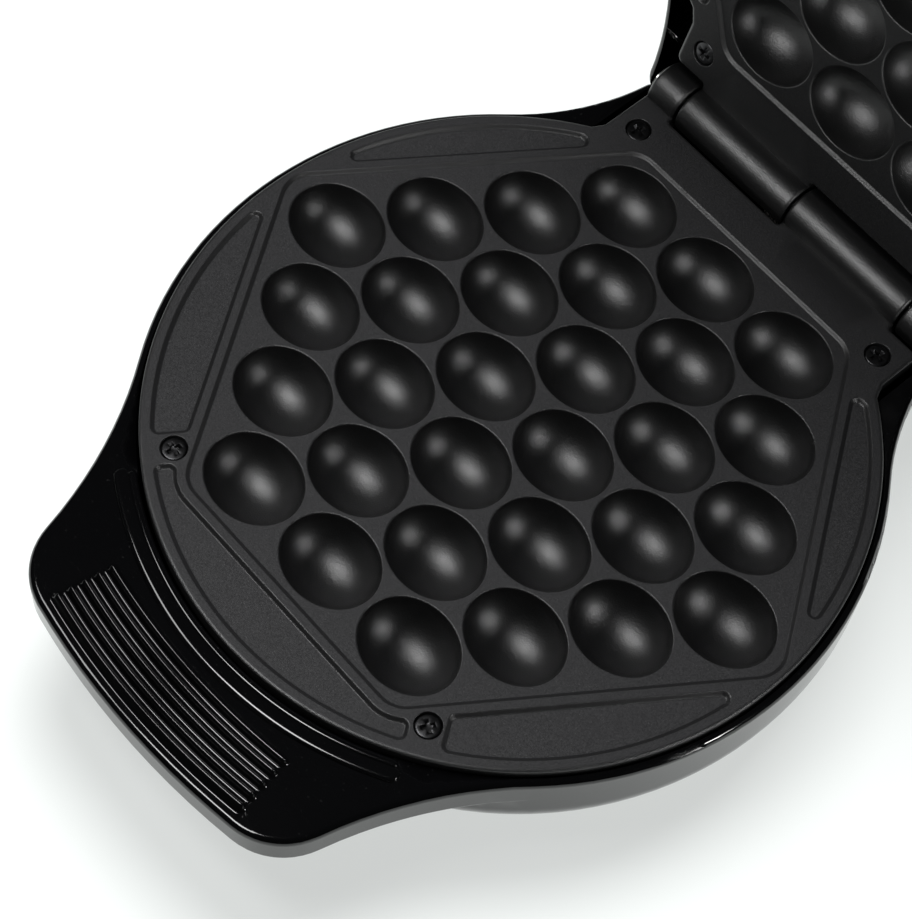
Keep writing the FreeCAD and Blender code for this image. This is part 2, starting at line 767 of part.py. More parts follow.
def base_casing():
    """Lower casing half: cut down at the back to let the knuckles and the lid turn."""
    outer = casing_outer(BASE)
    barrel_side = v.ear_half_width + v.pin_overhang + v.pin_end_gap
    low = hinge_height - v.knuckle_radius - v.barrel_clearance
    depth = v.knuckle_radius + v.barrel_clearance
    barrel_room = Part.makeBox(2 * barrel_side, 2 * depth, face - low,
                               FreeCAD.Vector(-barrel_side, v.hinge_back - depth, low))
    opening = v.ear_half_width + v.ear_clearance
    ear_opening = Part.makeBox(2 * opening, v.base_back - v.shell_wall - v.plate_radius / 2,
                               v.flange_thickness + v.rim_drop + 1,
                               FreeCAD.Vector(-opening, v.plate_radius / 2, rim - v.flange_thickness - 1))
    room = casing_room(BASE) + [shaped("barrel_room", barrel_room), shaped("ear_opening", ear_opening)]
    hollow = cut("base_hollow", shaped("base_outer", outer), fuse("base_room", room))
    solid = fuse("base_solid", [hollow] + posts(outer) + grip_relief())
    holes = screw_passages()
    for x, y in foot_spots():
        holes.append(Part.makeCylinder(v.foot_stem_radius + v.running_clearance, v.shell_wall + 2,
                                       FreeCAD.Vector(x, y, v.bowl_bottom - 1)))
    holes.append(Part.makeCylinder(v.gland_neck_radius + v.running_clearance, v.shell_wall + 2,
                                   FreeCAD.Vector(v.gland_side, v.base_back - v.shell_wall - 1,
                                                  v.gland_height), Y))
    return cut("base_shell", solid, group("base_holes", [shaped("base_hole", hole) for hole in holes]))


def lid_casing():
    """Upper casing half, with ribs beside the ears and a rest for the leads."""
    outer = casing_outer(LID)
    hollow = cut("lid_hollow", shaped("lid_outer", outer), fuse("lid_room", casing_room(LID)))
    rest = Part.makeBox(2 * v.clamp_half_width, v.clamp_length, v.rest_height,
                        FreeCAD.Vector(-v.clamp_half_width, v.block_front, v.bowl_bottom))
    additions = posts(outer) + grip_relief() + ear_ribs(outer) + [shaped("lead_rest", rest)]
    solid = fuse("lid_solid", [hollow] + additions)
    holes = screw_passages() + clamp_screws(v.small_screw_radius + v.running_clearance)
    holes += lead_grooves()
    return cut("lid_shell", solid, group("lid_holes", [shaped("lid_hole", hole) for hole in holes]))


def ear_ribs(outer):
    """Ribs of the lid casing between its side wall and the ears of the plate."""
    start = v.ear_half_width + 0.6
    top = rim - 0.6
    solids = []
    for side in (-1, 1):
        low = start if side > 0 else -start - 20
        rib = Part.makeBox(20, v.ear_rib_thickness, v.ear_rib_depth,
                           FreeCAD.Vector(low, v.ear_rib_back, top - v.ear_rib_depth))
        solids.append(shaped("ear_rib", rib.common(outer)))
    return solids


def screw_passages():
    """Holes of a casing half for the screws of its plate and its reflector."""
    holes = []
    depth = v.screw_length - v.plate_thickness + v.screw_recess_depth + 1
    for x, y in screw_spots():
        holes.append(Part.makeCylinder(v.screw_shank_radius + v.running_clearance, depth,
                                       FreeCAD.Vector(x, y, underside - depth)))
    for x, y in standoff_spots():
        holes.append(Part.makeCylinder(v.small_screw_radius + v.running_clearance, v.small_screw_depth,
                                       FreeCAD.Vector(x, y, v.reflector_height - v.small_screw_depth)))
    return holes


# Small pieces of the lower half

def foot_spots():
    front = [(side * v.front_foot_side, -v.front_foot_forward) for side in (-1, 1)]
    rear = [(side * v.rear_foot_side, v.rear_foot_back) for side in (-1, 1)]
    return front + rear


def feet():
    items = []
    stem = "bowl_bottom + shell_wall + foot_head_height"
    for x, y in foot_spots():
        pad = cylinder("foot_pad", "foot_radius", "bowl_bottom", x, y, 0)
        shank = cylinder("foot_stem", "foot_stem_radius", stem, x, y, 0)
        head = cylinder("foot_head", "foot_head_radius", "foot_head_height", x, y, "bowl_bottom + shell_wall")
        items.append(fuse("foot", [pad, shank, head]))
    return group("base_feet", items)


def hinge_pin():
    return cylinder("hinge_pin", "pin_radius", "2 * (ear_half_width + pin_overhang)",
                    "-ear_half_width - pin_overhang", "hinge_back", "parting_height + parting_gap / 2", X)


def pin_clips():
    items = []
    for start in ("-ear_half_width - clip_gap - clip_thickness", "ear_half_width + clip_gap"):
        washer = cylinder("clip_washer", "clip_radius", "clip_thickness", start, "hinge_back",
                          "parting_height + parting_gap / 2", X)
        hole = cylinder("clip_bore", "pin_radius + running_clearance", "clip_thickness + 2", start + " - 1",
                        "hinge_back", "parting_height + parting_gap / 2", X)
        items.append(cut("pin_clip", washer, hole))
    return group("pin_clips", items)


def reflector():
    """Shallow dish of bright sheet under the element, with a turned-up edge."""
    low, thick = v.reflector_height, v.reflector_thickness
    rim_low = v.reflector_radius
    rim_high = v.reflector_radius + v.reflector_rim_flare
    top = reflector_top + v.reflector_rim_height
    outline = [(0, low), (rim_low, low), (rim_high, top), (rim_high - thick, top),
               (rim_low - thick, reflector_top), (0, reflector_top)]
    dish = ring_solid(outline, 0)
    notch = Part.makeBox(2 * v.reflector_notch_side, rim_high, v.reflector_rim_height + 1,
                         FreeCAD.Vector(-v.reflector_notch_side, rim_high / 2, reflector_top))
    holes = [Part.makeCylinder(v.small_screw_radius + v.running_clearance, 4,
                               FreeCAD.Vector(x, y, low - 1)) for x, y in standoff_spots()]
    return shaped("lower_reflector", dish.cut(holes + [notch]))


def reflector_screws():
    top = reflector_top
    solids = []
    for x, y in standoff_spots():
        head = Part.makeCylinder(v.small_head_radius, v.small_head_height, FreeCAD.Vector(x, y, top))
        length = v.small_screw_depth + v.reflector_thickness
        shank = Part.makeCylinder(v.small_screw_radius, length, FreeCAD.Vector(x, y, top - length))
        solids.append(head.fuse(shank))
    return shaped("lower_reflector_screws", Part.makeCompound(solids))


def thermostat():
    """Snap-disc thermostat against the pad in the middle of the plate, with its two tabs."""
    top = bulge_bottom - v.pad_drop
    can = Part.makeCylinder(v.thermostat_radius, v.thermostat_height,
                            FreeCAD.Vector(0, 0, top - v.thermostat_height))
    tab_top = top - v.thermostat_height + v.tab_thickness
    tabs = [Part.makeBox(v.tab_width, v.tab_length, v.tab_thickness,
                         FreeCAD.Vector(-v.tab_width / 2, start, tab_top - v.tab_thickness))
            for start in (v.thermostat_radius - v.tab_root, v.tab_root - v.thermostat_radius - v.tab_length)]
    return shaped("thermostat", can.fuse(tabs))


def thermostat_bracket():
    """Sheet ring round the thermostat with two ears screwed to the pad."""
    top = bulge_bottom - v.pad_drop
    bottom = top - v.bracket_thickness
    plate = Part.makeBox(2 * v.pad_half_length, 2 * v.pad_half_width, v.bracket_thickness,
                         FreeCAD.Vector(-v.pad_half_length, -v.pad_half_width, bottom))
    hole = Part.makeCylinder(v.thermostat_radius + v.running_clearance, 4, FreeCAD.Vector(0, 0, bottom - 1))
    plate = plate.cut([hole] + pad_screws(v.small_screw_radius + v.running_clearance, bottom - 1, 4))
    shanks = pad_screws(v.small_screw_radius - v.running_clearance, bottom, v.small_screw_depth - 2)
    heads = pad_screws(v.small_head_radius, bottom - v.small_head_height, v.small_head_height)
    screws = Part.makeCompound([shank.fuse(head) for shank, head in zip(shanks, heads)])
    return shaped("thermostat_bracket", plate), shaped("thermostat_screws", screws)


def thermal_fuse():
    """Axial fuse lying over the reflector, behind the thermostat."""
    start = FreeCAD.Vector(0, v.fuse_back - v.fuse_length / 2, lead_height)
    return shaped("thermal_fuse", Part.makeCylinder(v.fuse_radius, v.fuse_length, start, Y))


def fuse_clip():
    """Saddle that holds the fuse down on the reflector, with a foot at its side."""
    outer = v.fuse_radius + v.clip_sheet
    front = v.fuse_back - v.clip_width / 2
    hoop = Part.makeCylinder(outer, v.clip_width, FreeCAD.Vector(0, front, lead_height), Y)
    saddle = Part.makeBox(2 * outer, v.clip_width, v.lead_lift, FreeCAD.Vector(-outer, front, reflector_top))
    foot = Part.makeBox(v.clip_foot, v.clip_width, v.clip_sheet,
                        FreeCAD.Vector(outer - v.clip_sheet / 2, front, reflector_top))
    hole = Part.makeCylinder(v.fuse_radius + v.running_clearance, v.clip_width,
                             FreeCAD.Vector(0, front, lead_height), Y)
    under = Part.makeBox(4 * outer, v.clip_width, outer,
                         FreeCAD.Vector(-2 * outer, front, reflector_top - outer))
    return shaped("fuse_clip", hoop.fuse([saddle, foot]).cut([hole, under]))


def terminal_block():
    """Block behind the cooking field with two clamp screws, and its lead entries in front."""
    solid = Part.makeBox(2 * v.block_half_width, v.block_length, v.block_height,
                         FreeCAD.Vector(-v.block_half_width, v.block_front, shell_floor))
    screws = []
    holes = []
    foot = shell_floor + v.block_height - v.block_screw_sink - v.block_screw_length
    middle = v.block_front + v.block_length / 2
    for side in (-1, 1):
        spot = FreeCAD.Vector(side * v.block_screw_side, middle, foot)
        holes.append(Part.makeCylinder(v.small_head_radius + v.running_clearance, v.block_height, spot))
        screws.append(Part.makeCylinder(v.small_head_radius, v.block_screw_length, spot))
    return (shaped("terminal_block", solid.cut(holes)),
            shaped("terminal_screws", Part.makeCompound(screws)))


def gland():
    """Rubber bush in the back wall, with the bore for the mains cord."""
    neck_length = v.shell_wall + v.gland_neck_lip
    spot = FreeCAD.Vector(v.gland_side, v.base_back - neck_length, v.gland_height)
    neck = Part.makeCylinder(v.gland_neck_radius, neck_length, spot, Y)
    flange = Part.makeCylinder(v.gland_flange_radius, v.gland_flange_thickness,
                               FreeCAD.Vector(v.gland_side, v.base_back, v.gland_height), Y)
    bore = Part.makeCylinder(v.gland_bore_radius, neck_length + v.gland_flange_thickness, spot, Y)
    return shaped("cord_gland", neck.fuse(flange).cut(bore))


# Leads inside the halves

def routed(points, bend):
    """Path of straight runs joined by tangent arcs of one radius."""
    places = [FreeCAD.Vector(*spot) for spot in points]
    edges = []
    start = places[0]
    for before, here, after in zip(places, places[1:], places[2:]):
        back, ahead = (before - here).normalize(), (after - here).normalize()
        half = back.getAngle(ahead) / 2
        reach = bend / math.tan(half)
        centre = here + (back + ahead).normalize() * (bend / math.sin(half))
        middle = centre + (here - centre).normalize() * bend
        edges.append(Part.LineSegment(start, here + back * reach).toShape())
        edges.append(Part.Arc(here + back * reach, middle, here + ahead * reach).toShape())
        start = here + ahead * reach
    edges.append(Part.LineSegment(start, places[-1]).toShape())
    return Part.Wire(edges)


def lead(name, points):
    return shaped(name, sweep(routed(points, v.lead_bend), v.lead_radius))


def pin_lead(name, side, end, height):
    """Lead from one terminal pin of the element, down and back to where it is held."""
    x = side * v.element_end_side
    turn = (pin_end + v.block_front) / 2
    points = [(x, pin_end, tube_height), (x, turn, tube_height), (x, turn, height), (x, end, height)]
    return lead(name, points)


def control_leads():
    """Supply lead to the fuse, link to the thermostat, and the lead that loops round from its far tab."""
    side = v.control_side
    front = v.block_front
    entry = shell_floor + v.lead_entry
    tab_end = v.thermostat_radius - v.tab_root + v.tab_length
    tab_height = bulge_bottom - v.pad_drop - v.thermostat_height + v.tab_thickness / 2
    fuse_front = v.fuse_back - v.fuse_length / 2
    fuse_rear = v.fuse_back + v.fuse_length / 2
    run = v.lead_bend
    into_block = [(front - v.lead_drop, lead_height), (front - v.lead_level, entry), (front, entry)]
    supply = [(0, fuse_rear, lead_height), (0, fuse_rear + run, lead_height),
              (side, fuse_rear + 3 * run, lead_height)] + [(side, y, z) for y, z in into_block]
    link = [(0, tab_end, tab_height), (0, tab_end + run, tab_height),
            (0, fuse_front - run, lead_height), (0, fuse_front, lead_height)]
    loop_side, loop_front, loop_back = v.lead_loop_side, v.lead_loop_front, v.lead_loop_back
    loop = [(0, -tab_end, tab_height), (0, -tab_end - run, tab_height),
            (0, -loop_front, lead_height), (-loop_side, -loop_front, lead_height),
            (-loop_side, loop_back, lead_height), (-side, loop_back + loop_side / 2, lead_height)]
    loop += [(-side, y, z) for y, z in into_block]
    return [("supply_lead", supply), ("fuse_link", link), ("thermostat_lead", loop)]


# Lead clamp in the lid

def clamp_screws(radius):
    """Shanks of the two clamp screws, from the top of the clamp down into the rest."""
    length = v.clamp_thickness + v.small_screw_depth
    bottom = clamp_bottom - v.small_screw_depth
    middle = v.block_front + v.clamp_length / 2
    return [Part.makeCylinder(radius, length, FreeCAD.Vector(side * v.clamp_screw_side, middle, bottom))
            for side in (-1, 1)]


def lead_grooves():
    """Round passages for the two leads, half in the rest and half in the clamp."""
    return [Part.makeCylinder(v.lead_radius + v.running_clearance, v.clamp_length,
                              FreeCAD.Vector(side * v.element_end_side, v.block_front, clamp_bottom), Y)
            for side in (-1, 1)]


def lead_clamp():
    bar = Part.makeBox(2 * v.clamp_half_width, v.clamp_length, v.clamp_thickness,
                       FreeCAD.Vector(-v.clamp_half_width, v.block_front, clamp_bottom))
    bar = bar.cut(lead_grooves() + clamp_screws(v.small_screw_radius + v.running_clearance))
    screws = []
    for shank in clamp_screws(v.small_screw_radius - v.running_clearance):
        middle = shank.BoundBox.Center
        head = Part.makeCylinder(v.small_head_radius, v.small_head_height,
                                 FreeCAD.Vector(middle.x, middle.y, clamp_bottom + v.clamp_thickness))
        screws.append(shank.fuse(head))
    return shaped("lead_clamp", bar), shaped("lead_clamp_screws", Part.makeCompound(screws))


# Build

def lid_placement():
    """Turn a piece of the lower half over and swing it open about the hinge."""
    flip = FreeCAD.Placement(FreeCAD.Vector(0, 0, 2 * hinge_height), FreeCAD.Rotation(Y, 180))
    swing = FreeCAD.Placement(FreeCAD.Vector(0, 0, 0), FreeCAD.Rotation(X, -v.lid_open_angle),
                              FreeCAD.Vector(0, v.hinge_back, hinge_height))
    return swing.multiply(flip)


def build():
    nodes = []

    def add(item, node):
        nodes.append(label(item, node))
        return item

    add(base_casing(), "base_shell")
    uppers = [add(lid_casing(), "lid_shell")]
    pins, beads = element_ends()
    straps, strap_screws = element_straps()
    lower = [
        (cooking_plate(), "lower_plate", "upper_plate"),
        (plate_screws(), "lower_plate_screws", "upper_plate_screws"),
        (heating_element(), "lower_element", "upper_element"),
        (pins, "lower_element_pins", "upper_element_pins"),
        (beads, "lower_element_beads", "upper_element_beads"),
        (straps, "lower_element_straps", "upper_element_straps"),
        (strap_screws, "lower_strap_screws", "upper_strap_screws"),
        (reflector(), "lower_reflector", "upper_reflector"),
        (reflector_screws(), "lower_reflector_screws", "upper_reflector_screws"),
    ]
    for item, node, upper_node in lower:
        add(item, node)
        uppers.append(add(group(upper_node, [item]), upper_node))

    add(feet(), "base_feet")
    add(hinge_pin(), "hinge_pin")
    add(pin_clips(), "pin_clips")
    add(thermostat(), "thermostat")
    bracket, bracket_screws = thermostat_bracket()
    add(bracket, "thermostat_bracket")
    add(bracket_screws, "thermostat_screws")
    add(thermal_fuse(), "thermal_fuse")
    add(fuse_clip(), "fuse_clip")
    block, block_screws = terminal_block()
    add(block, "terminal_block")
    add(block_screws, "terminal_screws")
    add(gland(), "cord_gland")
    entry = shell_floor + v.lead_entry
    tail = v.block_front + v.clamp_length + v.lead_tail
    for side, word in ((-1, "left"), (1, "right")):
        add(pin_lead("lower_lead", side, v.block_front, entry), "lower_lead_" + word)
        uppers.append(add(pin_lead("upper_lead", side, tail, clamp_bottom), "upper_lead_" + word))
    for node, points in control_leads():
        add(lead(node, points), node)
    clamp, screws = lead_clamp()
    uppers.append(add(clamp, "lead_clamp"))
    uppers.append(add(screws, "lead_clamp_screws"))

    doc.recompute()
    for item in uppers:
        item.Placement = lid_placement()
    doc.recompute()
    return nodes


def write(nodes):
    """Check every object, then write one file for each node."""
    for item in doc.Objects:
        if "Invalid" in item.State or "Error" in item.State:
            raise RuntimeError("failed object: " + item.Name)
    os.makedirs("parts", exist_ok=True)
    for item in nodes:
        shape = item.Shape
        if shape.isNull() or not shape.isValid():
            raise RuntimeError("bad shape: " + item.Label)
        shape.exportStep(f"parts/{item.Label}.step")
        print(item.Label, len(shape.Solids), round(shape.Volume / 1000, 2), "cm3")


write(build())
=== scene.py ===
"""Bubble waffle maker with its lid open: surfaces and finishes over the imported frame."""
import json
import math

import bmesh
import bpy
import numpy as np
from mathutils import Matrix, Quaternion, Vector
from mathutils.geometry import delaunay_2d_cdt


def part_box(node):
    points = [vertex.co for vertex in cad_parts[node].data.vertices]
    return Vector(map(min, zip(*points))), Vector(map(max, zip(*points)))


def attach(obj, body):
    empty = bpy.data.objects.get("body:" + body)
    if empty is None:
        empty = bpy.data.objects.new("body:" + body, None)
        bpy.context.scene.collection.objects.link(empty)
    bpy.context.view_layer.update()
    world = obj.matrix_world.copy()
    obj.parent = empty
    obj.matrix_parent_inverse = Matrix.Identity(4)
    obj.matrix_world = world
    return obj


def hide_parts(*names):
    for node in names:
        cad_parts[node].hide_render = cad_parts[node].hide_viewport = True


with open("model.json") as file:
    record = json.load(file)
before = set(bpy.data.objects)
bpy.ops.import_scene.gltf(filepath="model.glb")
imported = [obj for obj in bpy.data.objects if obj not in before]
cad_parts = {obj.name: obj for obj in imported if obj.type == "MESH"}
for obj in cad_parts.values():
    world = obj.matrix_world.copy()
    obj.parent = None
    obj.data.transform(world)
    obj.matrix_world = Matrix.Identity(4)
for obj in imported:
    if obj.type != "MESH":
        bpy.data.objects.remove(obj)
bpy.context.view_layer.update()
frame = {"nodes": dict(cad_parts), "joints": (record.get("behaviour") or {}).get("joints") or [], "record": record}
MM = 0.001
joint = frame["joints"][0]

# Sizes in millimetres, as the pieces are made
HINGE_BACK = joint["pos_m"][1] / MM
HINGE_HEIGHT = joint["pos_m"][2] / MM
OPEN_ANGLE = joint["range_deg"][1]
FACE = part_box("lower_plate")[1].z / MM - 7.8
STEP = 1.2

PLATE = {
    "radius": 102.4, "forward": 4.0, "thickness": 6.0, "edge_wide": 1.3, "edge_drop": 0.7,
    "ear_side": 57.0, "ear_back": 98.3, "web_back": 104.0,
    "field_step": 0.9, "field_step_width": 1.4, "field_corner": 43.0, "field_round": 9.0,
    "pocket_radius": 98.7, "pocket_depth": 1.2, "pocket_land": 3.4, "pocket_screw_land": 5.1,
    # The step share sets how strongly step walls are painted darker as shade and made smoother.
    "pocket_ear_back": 75.5, "pocket_round": 1.8, "pocket_step_width": 1.5, "step_wall_shade_share": 0.7,
    "recess_radius": 3.85, "recess_depth": 2.6, "recess_lip": 0.2,
}
WELL = {"pitch": 32.0, "row_pitch": 23.2, "length": 15.0, "width": 12.6, "depth": 13.0, "wall": 1.7,
        "lip": 0.5, "around": 72, "rings": 20}
ROWS = [3, 4, 5, 6, 5, 4, 3]
KNUCKLE = {"radius": 7.6, "bore": 2.55, "end_round": 1.1, "around": 72,
           "spans": [(0.35, 45.2), (-57.0, -45.9)]}
SCREWS = [(-52.5, -80.8), (52.5, -80.8), (-49.3, 89.6), (49.3, 89.6)]
RIM = FACE - 2.4
SCREW = {"head": 3.5, "rise": 2.2, "dome": 0.6, "cross": 4.8, "slot": 1.25, "deep": 1.5, "edge": 0.12}
RIBS = {"count": 5, "centre": 97.75, "radius": 232.2, "pitch": 4.05, "angle": 9.4, "width": 3.9, "flat": 0.0,
        "round": 0.0, "lean": 0.25, "rise": 1.8}
BAND = {"count": 1, "centre": -4.0, "radius": 107.5, "pitch": 0.0, "angle": 31.0, "width": 5.2, "flat": 0.385,
        "round": 1.0, "lean": 0.0, "rise": 0.9}
LIP = {"count": 1, "centre": -4.0, "radius": 105.0, "pitch": 0.0, "angle": 31.0, "width": 2.8, "flat": 0.0,
       "round": 1.0, "lean": 0.0, "rise": 1.3}
RELIEF = {"sink": 0.5, "along": 180, "across": 25}
VIEW = {"place": (220.2, -268.3, 663.9), "aim": (-1.43, -24.31, 46.0), "roll": 7.312, "lens": 100.89,
        "shift": (0.0013, -0.0002)}
LIGHT = {
    "world": 0.018,
    "key_place": (-45, -192, 394), "key_size": (130, 90), "key_power": 0.62,
    "tail_place": (-175, -190, 392), "tail_size": (130, 90), "tail_power": 0.36,
    "side_place": (448, 25, 235), "side_size": (60, 60), "side_power": 0.55,
    "fill": 9.4, "fill_angle": 40.0, "fill_from": (-0.35, 0.50, 1.0), "floor_glow": 0.60,
}


# Outlines: closed loops of points seen from above, running anticlockwise

def arc(centre, radius, start, end, step=STEP):
    """Points along an arc between two angles in degrees, without the last one."""
    count = max(3, math.ceil(abs(math.radians(end - start)) * radius / step))
    turn = np.radians(np.linspace(start, end, count + 1)[:-1])
    return np.column_stack([centre[0] + radius * np.cos(turn), centre[1] + radius * np.sin(turn)])


def straight(start, end, step=STEP):
    """Points along a straight run, without the last one."""
    start, end = np.array(start, float), np.array(end, float)
    count = max(1, math.ceil(np.linalg.norm(end - start) / step))
    share = np.linspace(0, 1, count + 1)[:-1, None]
    return start + (end - start) * share


def rounded(corners, radii, step=STEP):
    """Closed loop on straight sides whose corners are rounded, each with its own radius."""
    corners = [np.array(corner, float) for corner in corners]
    total = len(corners)
    radii = [radii] * total if np.isscalar(radii) else radii
    ends = []
    for index, (corner, radius) in enumerate(zip(corners, radii)):
        back = corners[index - 1] - corner
        ahead = corners[(index + 1) % total] - corner
        back, ahead = back / np.linalg.norm(back), ahead / np.linalg.norm(ahead)
        half = math.acos(np.clip(back @ ahead, -1, 1)) / 2
        middle = (back + ahead) / np.linalg.norm(back + ahead)
        centre = corner + middle * radius / math.sin(half)
        ends.append((corner + back * radius / math.tan(half), centre, corner + ahead * radius / math.tan(half)))
    loop = []
    for index, (start, centre, end) in enumerate(ends):
        radius = radii[index]
        first = math.degrees(math.atan2(*(start - centre)[::-1]))
        last = math.degrees(math.atan2(*(end - centre)[::-1]))
        turn = (last - first + 180) % 360 - 180
        loop.append(arc(centre, radius, first, first + turn, min(step, radius / 3)))
        loop.append(straight(end, ends[(index + 1) % total][0], step))
    return np.vstack(loop)


def softened(parts, radius):
    """Closed loop made of open parts, whose joints are rounded with one radius."""
    joints = []
    for part, following in zip(parts, parts[1:] + parts[:1]):
        corner = following[0]
        back, ahead = part[-1] - corner, following[1] - corner
        half = math.acos(back @ ahead / np.linalg.norm(back) / np.linalg.norm(ahead)) / 2
        joints.append((corner, half, radius / math.tan(half)))
    trimmed = []
    for index, part in enumerate(parts):
        part = np.vstack([part, joints[index][0]])
        along = np.concatenate([[0], np.cumsum(np.linalg.norm(np.diff(part, axis=0), axis=1))])
        first, last = joints[index - 1][2], along[-1] - joints[index][2]
        spots = np.linspace(first, last, max(2, round((last - first) / STEP) + 1))
        trimmed.append(np.column_stack([np.interp(spots, along, part[:, axis]) for axis in (0, 1)]))
    loop = []
    share = np.linspace(0, 1, 9)[1:-1, None]
    for index, part in enumerate(trimmed):
        corner, half, _ = joints[index]
        following = trimmed[(index + 1) % len(parts)][0]
        weights = (1 - share) ** 2, 2 * math.sin(half) * share * (1 - share), share ** 2
        bend = (weights[0] * part[-1] + weights[1] * corner + weights[2] * following) / sum(weights)
        loop += [part, bend]
    return np.vstack(loop)


def normals(loop):
    """Outward directions at the points of an anticlockwise loop."""
    ahead = np.roll(loop, -1, axis=0) - loop
    back = loop - np.roll(loop, 1, axis=0)
    ahead /= np.linalg.norm(ahead, axis=1)[:, None]
    back /= np.linalg.norm(back, axis=1)[:, None]
    along = ahead + back
    along /= np.linalg.norm(along, axis=1)[:, None]
    return np.column_stack([along[:, 1], -along[:, 0]])


def spread(loop, distance):
    """The loop moved outward by a distance, which may differ from point to point."""
    distance = np.broadcast_to(distance, len(loop))
    return loop + normals(loop) * np.asarray(distance)[:, None]


def crossing(centre, radius, point, direction):
    """Where a line from a point first leaves a circle."""
    point, direction = np.array(point, float), np.array(direction, float)
    direction /= np.linalg.norm(direction)
    offset = point - centre
    along = offset @ direction
    root = math.sqrt(along ** 2 - offset @ offset + radius ** 2)
    return point + direction * (root - along)


def angle(centre, point):
    return math.degrees(math.atan2(point[1] - centre[1], point[0] - centre[0]))


def enclosed(points, edges):
    """Which points lie inside the outer loop and outside the holes: an odd count of edges lies to their right."""
    inside = np.zeros(len(points), bool)
    for (ax, ay), (bx, by) in edges:
        if ay == by:
            continue
        spans = (ay > points[:, 1]) != (by > points[:, 1])
        meets = ax + (points[:, 1] - ay) * (bx - ax) / (by - ay)
        inside ^= spans & (points[:, 0] < meets)
    return inside


# Skins: meshes grown from loops

class Skin:
    """A mesh made of rings of points and the strips and flats between them."""

    def __init__(self):
        self.mesh = bmesh.new()

    def ring(self, loop, height):
        heights = np.broadcast_to(height, len(loop))
        return [self.mesh.verts.new((x * MM, y * MM, z * MM)) for (x, y), z in zip(loop, heights)]

    def strip(self, first, second):
        """Faces between two rings of one count. They face outward where the second lies above."""
        total = len(first)
        for index in range(total):
            following = (index + 1) % total
            self.mesh.faces.new((first[index], first[following], second[following], second[index]))

    def steps(self, loop, profile):
        """Rings along a profile of outward distances and heights, joined by strips."""
        rings = [self.ring(spread(loop, distance), height) for distance, height in profile]
        for first, second in zip(rings, rings[1:]):
            self.strip(first, second)
        return rings[0], rings[-1]

    def flat(self, outer, holes=(), up=True):
        """A level face inside one ring and outside others, as triangles."""
        verts = list(outer)
        edges = [(i, (i + 1) % len(outer)) for i in range(len(outer))]
        for hole in holes:
            start = len(verts)
            edges += [(start + i, start + (i + 1) % len(hole)) for i in range(len(hole))]
            verts += list(hole)
        coords = [Vector((vert.co.x / MM, vert.co.y / MM)) for vert in verts]
        made = delaunay_2d_cdt(coords, edges, [], 0, 1e-6, True)
        if len(made[0]) != len(verts):
            raise ValueError(f"a flat needed {len(made[0]) - len(verts)} more points")
        owner = [origins[0] for origins in made[3]]
        faces = [[owner[i] for i in face] for face in made[2]]
        plane = np.array(coords)
        middles = np.array([plane[face].mean(axis=0) for face in faces])
        for face, kept in zip(faces, enclosed(middles, plane[np.array(edges)])):
            if kept:
                corners = [verts[i] for i in face]
                self.mesh.faces.new(corners if up else corners[::-1])

    def pole(self, ring, point, up=True):
        """A fan from a ring to one point."""
        tip = self.mesh.verts.new([c * MM for c in point])
        total = len(ring)
        for index in range(total):
            corners = (ring[index], ring[(index + 1) % total], tip)
            self.mesh.faces.new(corners if up else corners[::-1])

    def finish(self, name, sharp=35.0):
        """Make the object, smooth where its faces meet at a small angle."""
        data = bpy.data.meshes.new(name)
        bmesh.ops.remove_doubles(self.mesh, verts=self.mesh.verts, dist=1e-7)
        self.mesh.to_mesh(data)
        self.mesh.free()
        data.shade_smooth()
        data.set_sharp_from_angle(angle=math.radians(sharp))
        item = bpy.data.objects.new(name, data)
        bpy.context.scene.collection.objects.link(item)
        return item


def wave(width, low, high):
    """Profile of a soft step: level, down and level again, between two distances."""
    share = np.linspace(0, 1, 9)
    height = low + (high - low) * (0.5 - 0.5 * np.cos(np.pi * share))
    distance = width * (share - 0.5)
    profile = list(zip(distance, height))
    margin = 0.15
    return [(distance[0] - margin, low)] + profile + [(distance[-1] + margin, high)]


# Cooking plate

def disc_centre():
    return np.array([0.0, -PLATE["forward"]])


def field_corners(margin):
    """Corners of the hexagonal field, moved outward by a margin, anticlockwise from the right."""
    depth = 3 * WELL["row_pitch"] + WELL["width"] + 2.7
    slope = WELL["pitch"] / 2 / WELL["row_pitch"]
    side = PLATE["field_corner"] + depth * slope + margin * math.hypot(1, slope)
    depth += margin
    front = side - depth * slope
    return [(side, 0), (front, depth), (-front, depth), (-side, 0), (-front, -depth), (front, -depth)]


def well_places():
    for row, count in enumerate(ROWS):
        for column in range(count):
            yield (column - (count - 1) / 2) * WELL["pitch"], (3 - row) * WELL["row_pitch"]


def well_loop(distance=0.0, wall=0.0, height=0.0):
    """Ellipse of a well, or of its outer cap, at a height below the middle of the egg."""
    shrink = math.sqrt(1 - (height / (WELL["depth"] + wall)) ** 2)
    turn = np.linspace(0, 2 * np.pi, WELL["around"] + 1)[:-1]
    loop = np.column_stack([(WELL["length"] + wall) * shrink * np.cos(turn),
                            (WELL["width"] + wall) * shrink * np.sin(turn)])
    return spread(loop, distance)


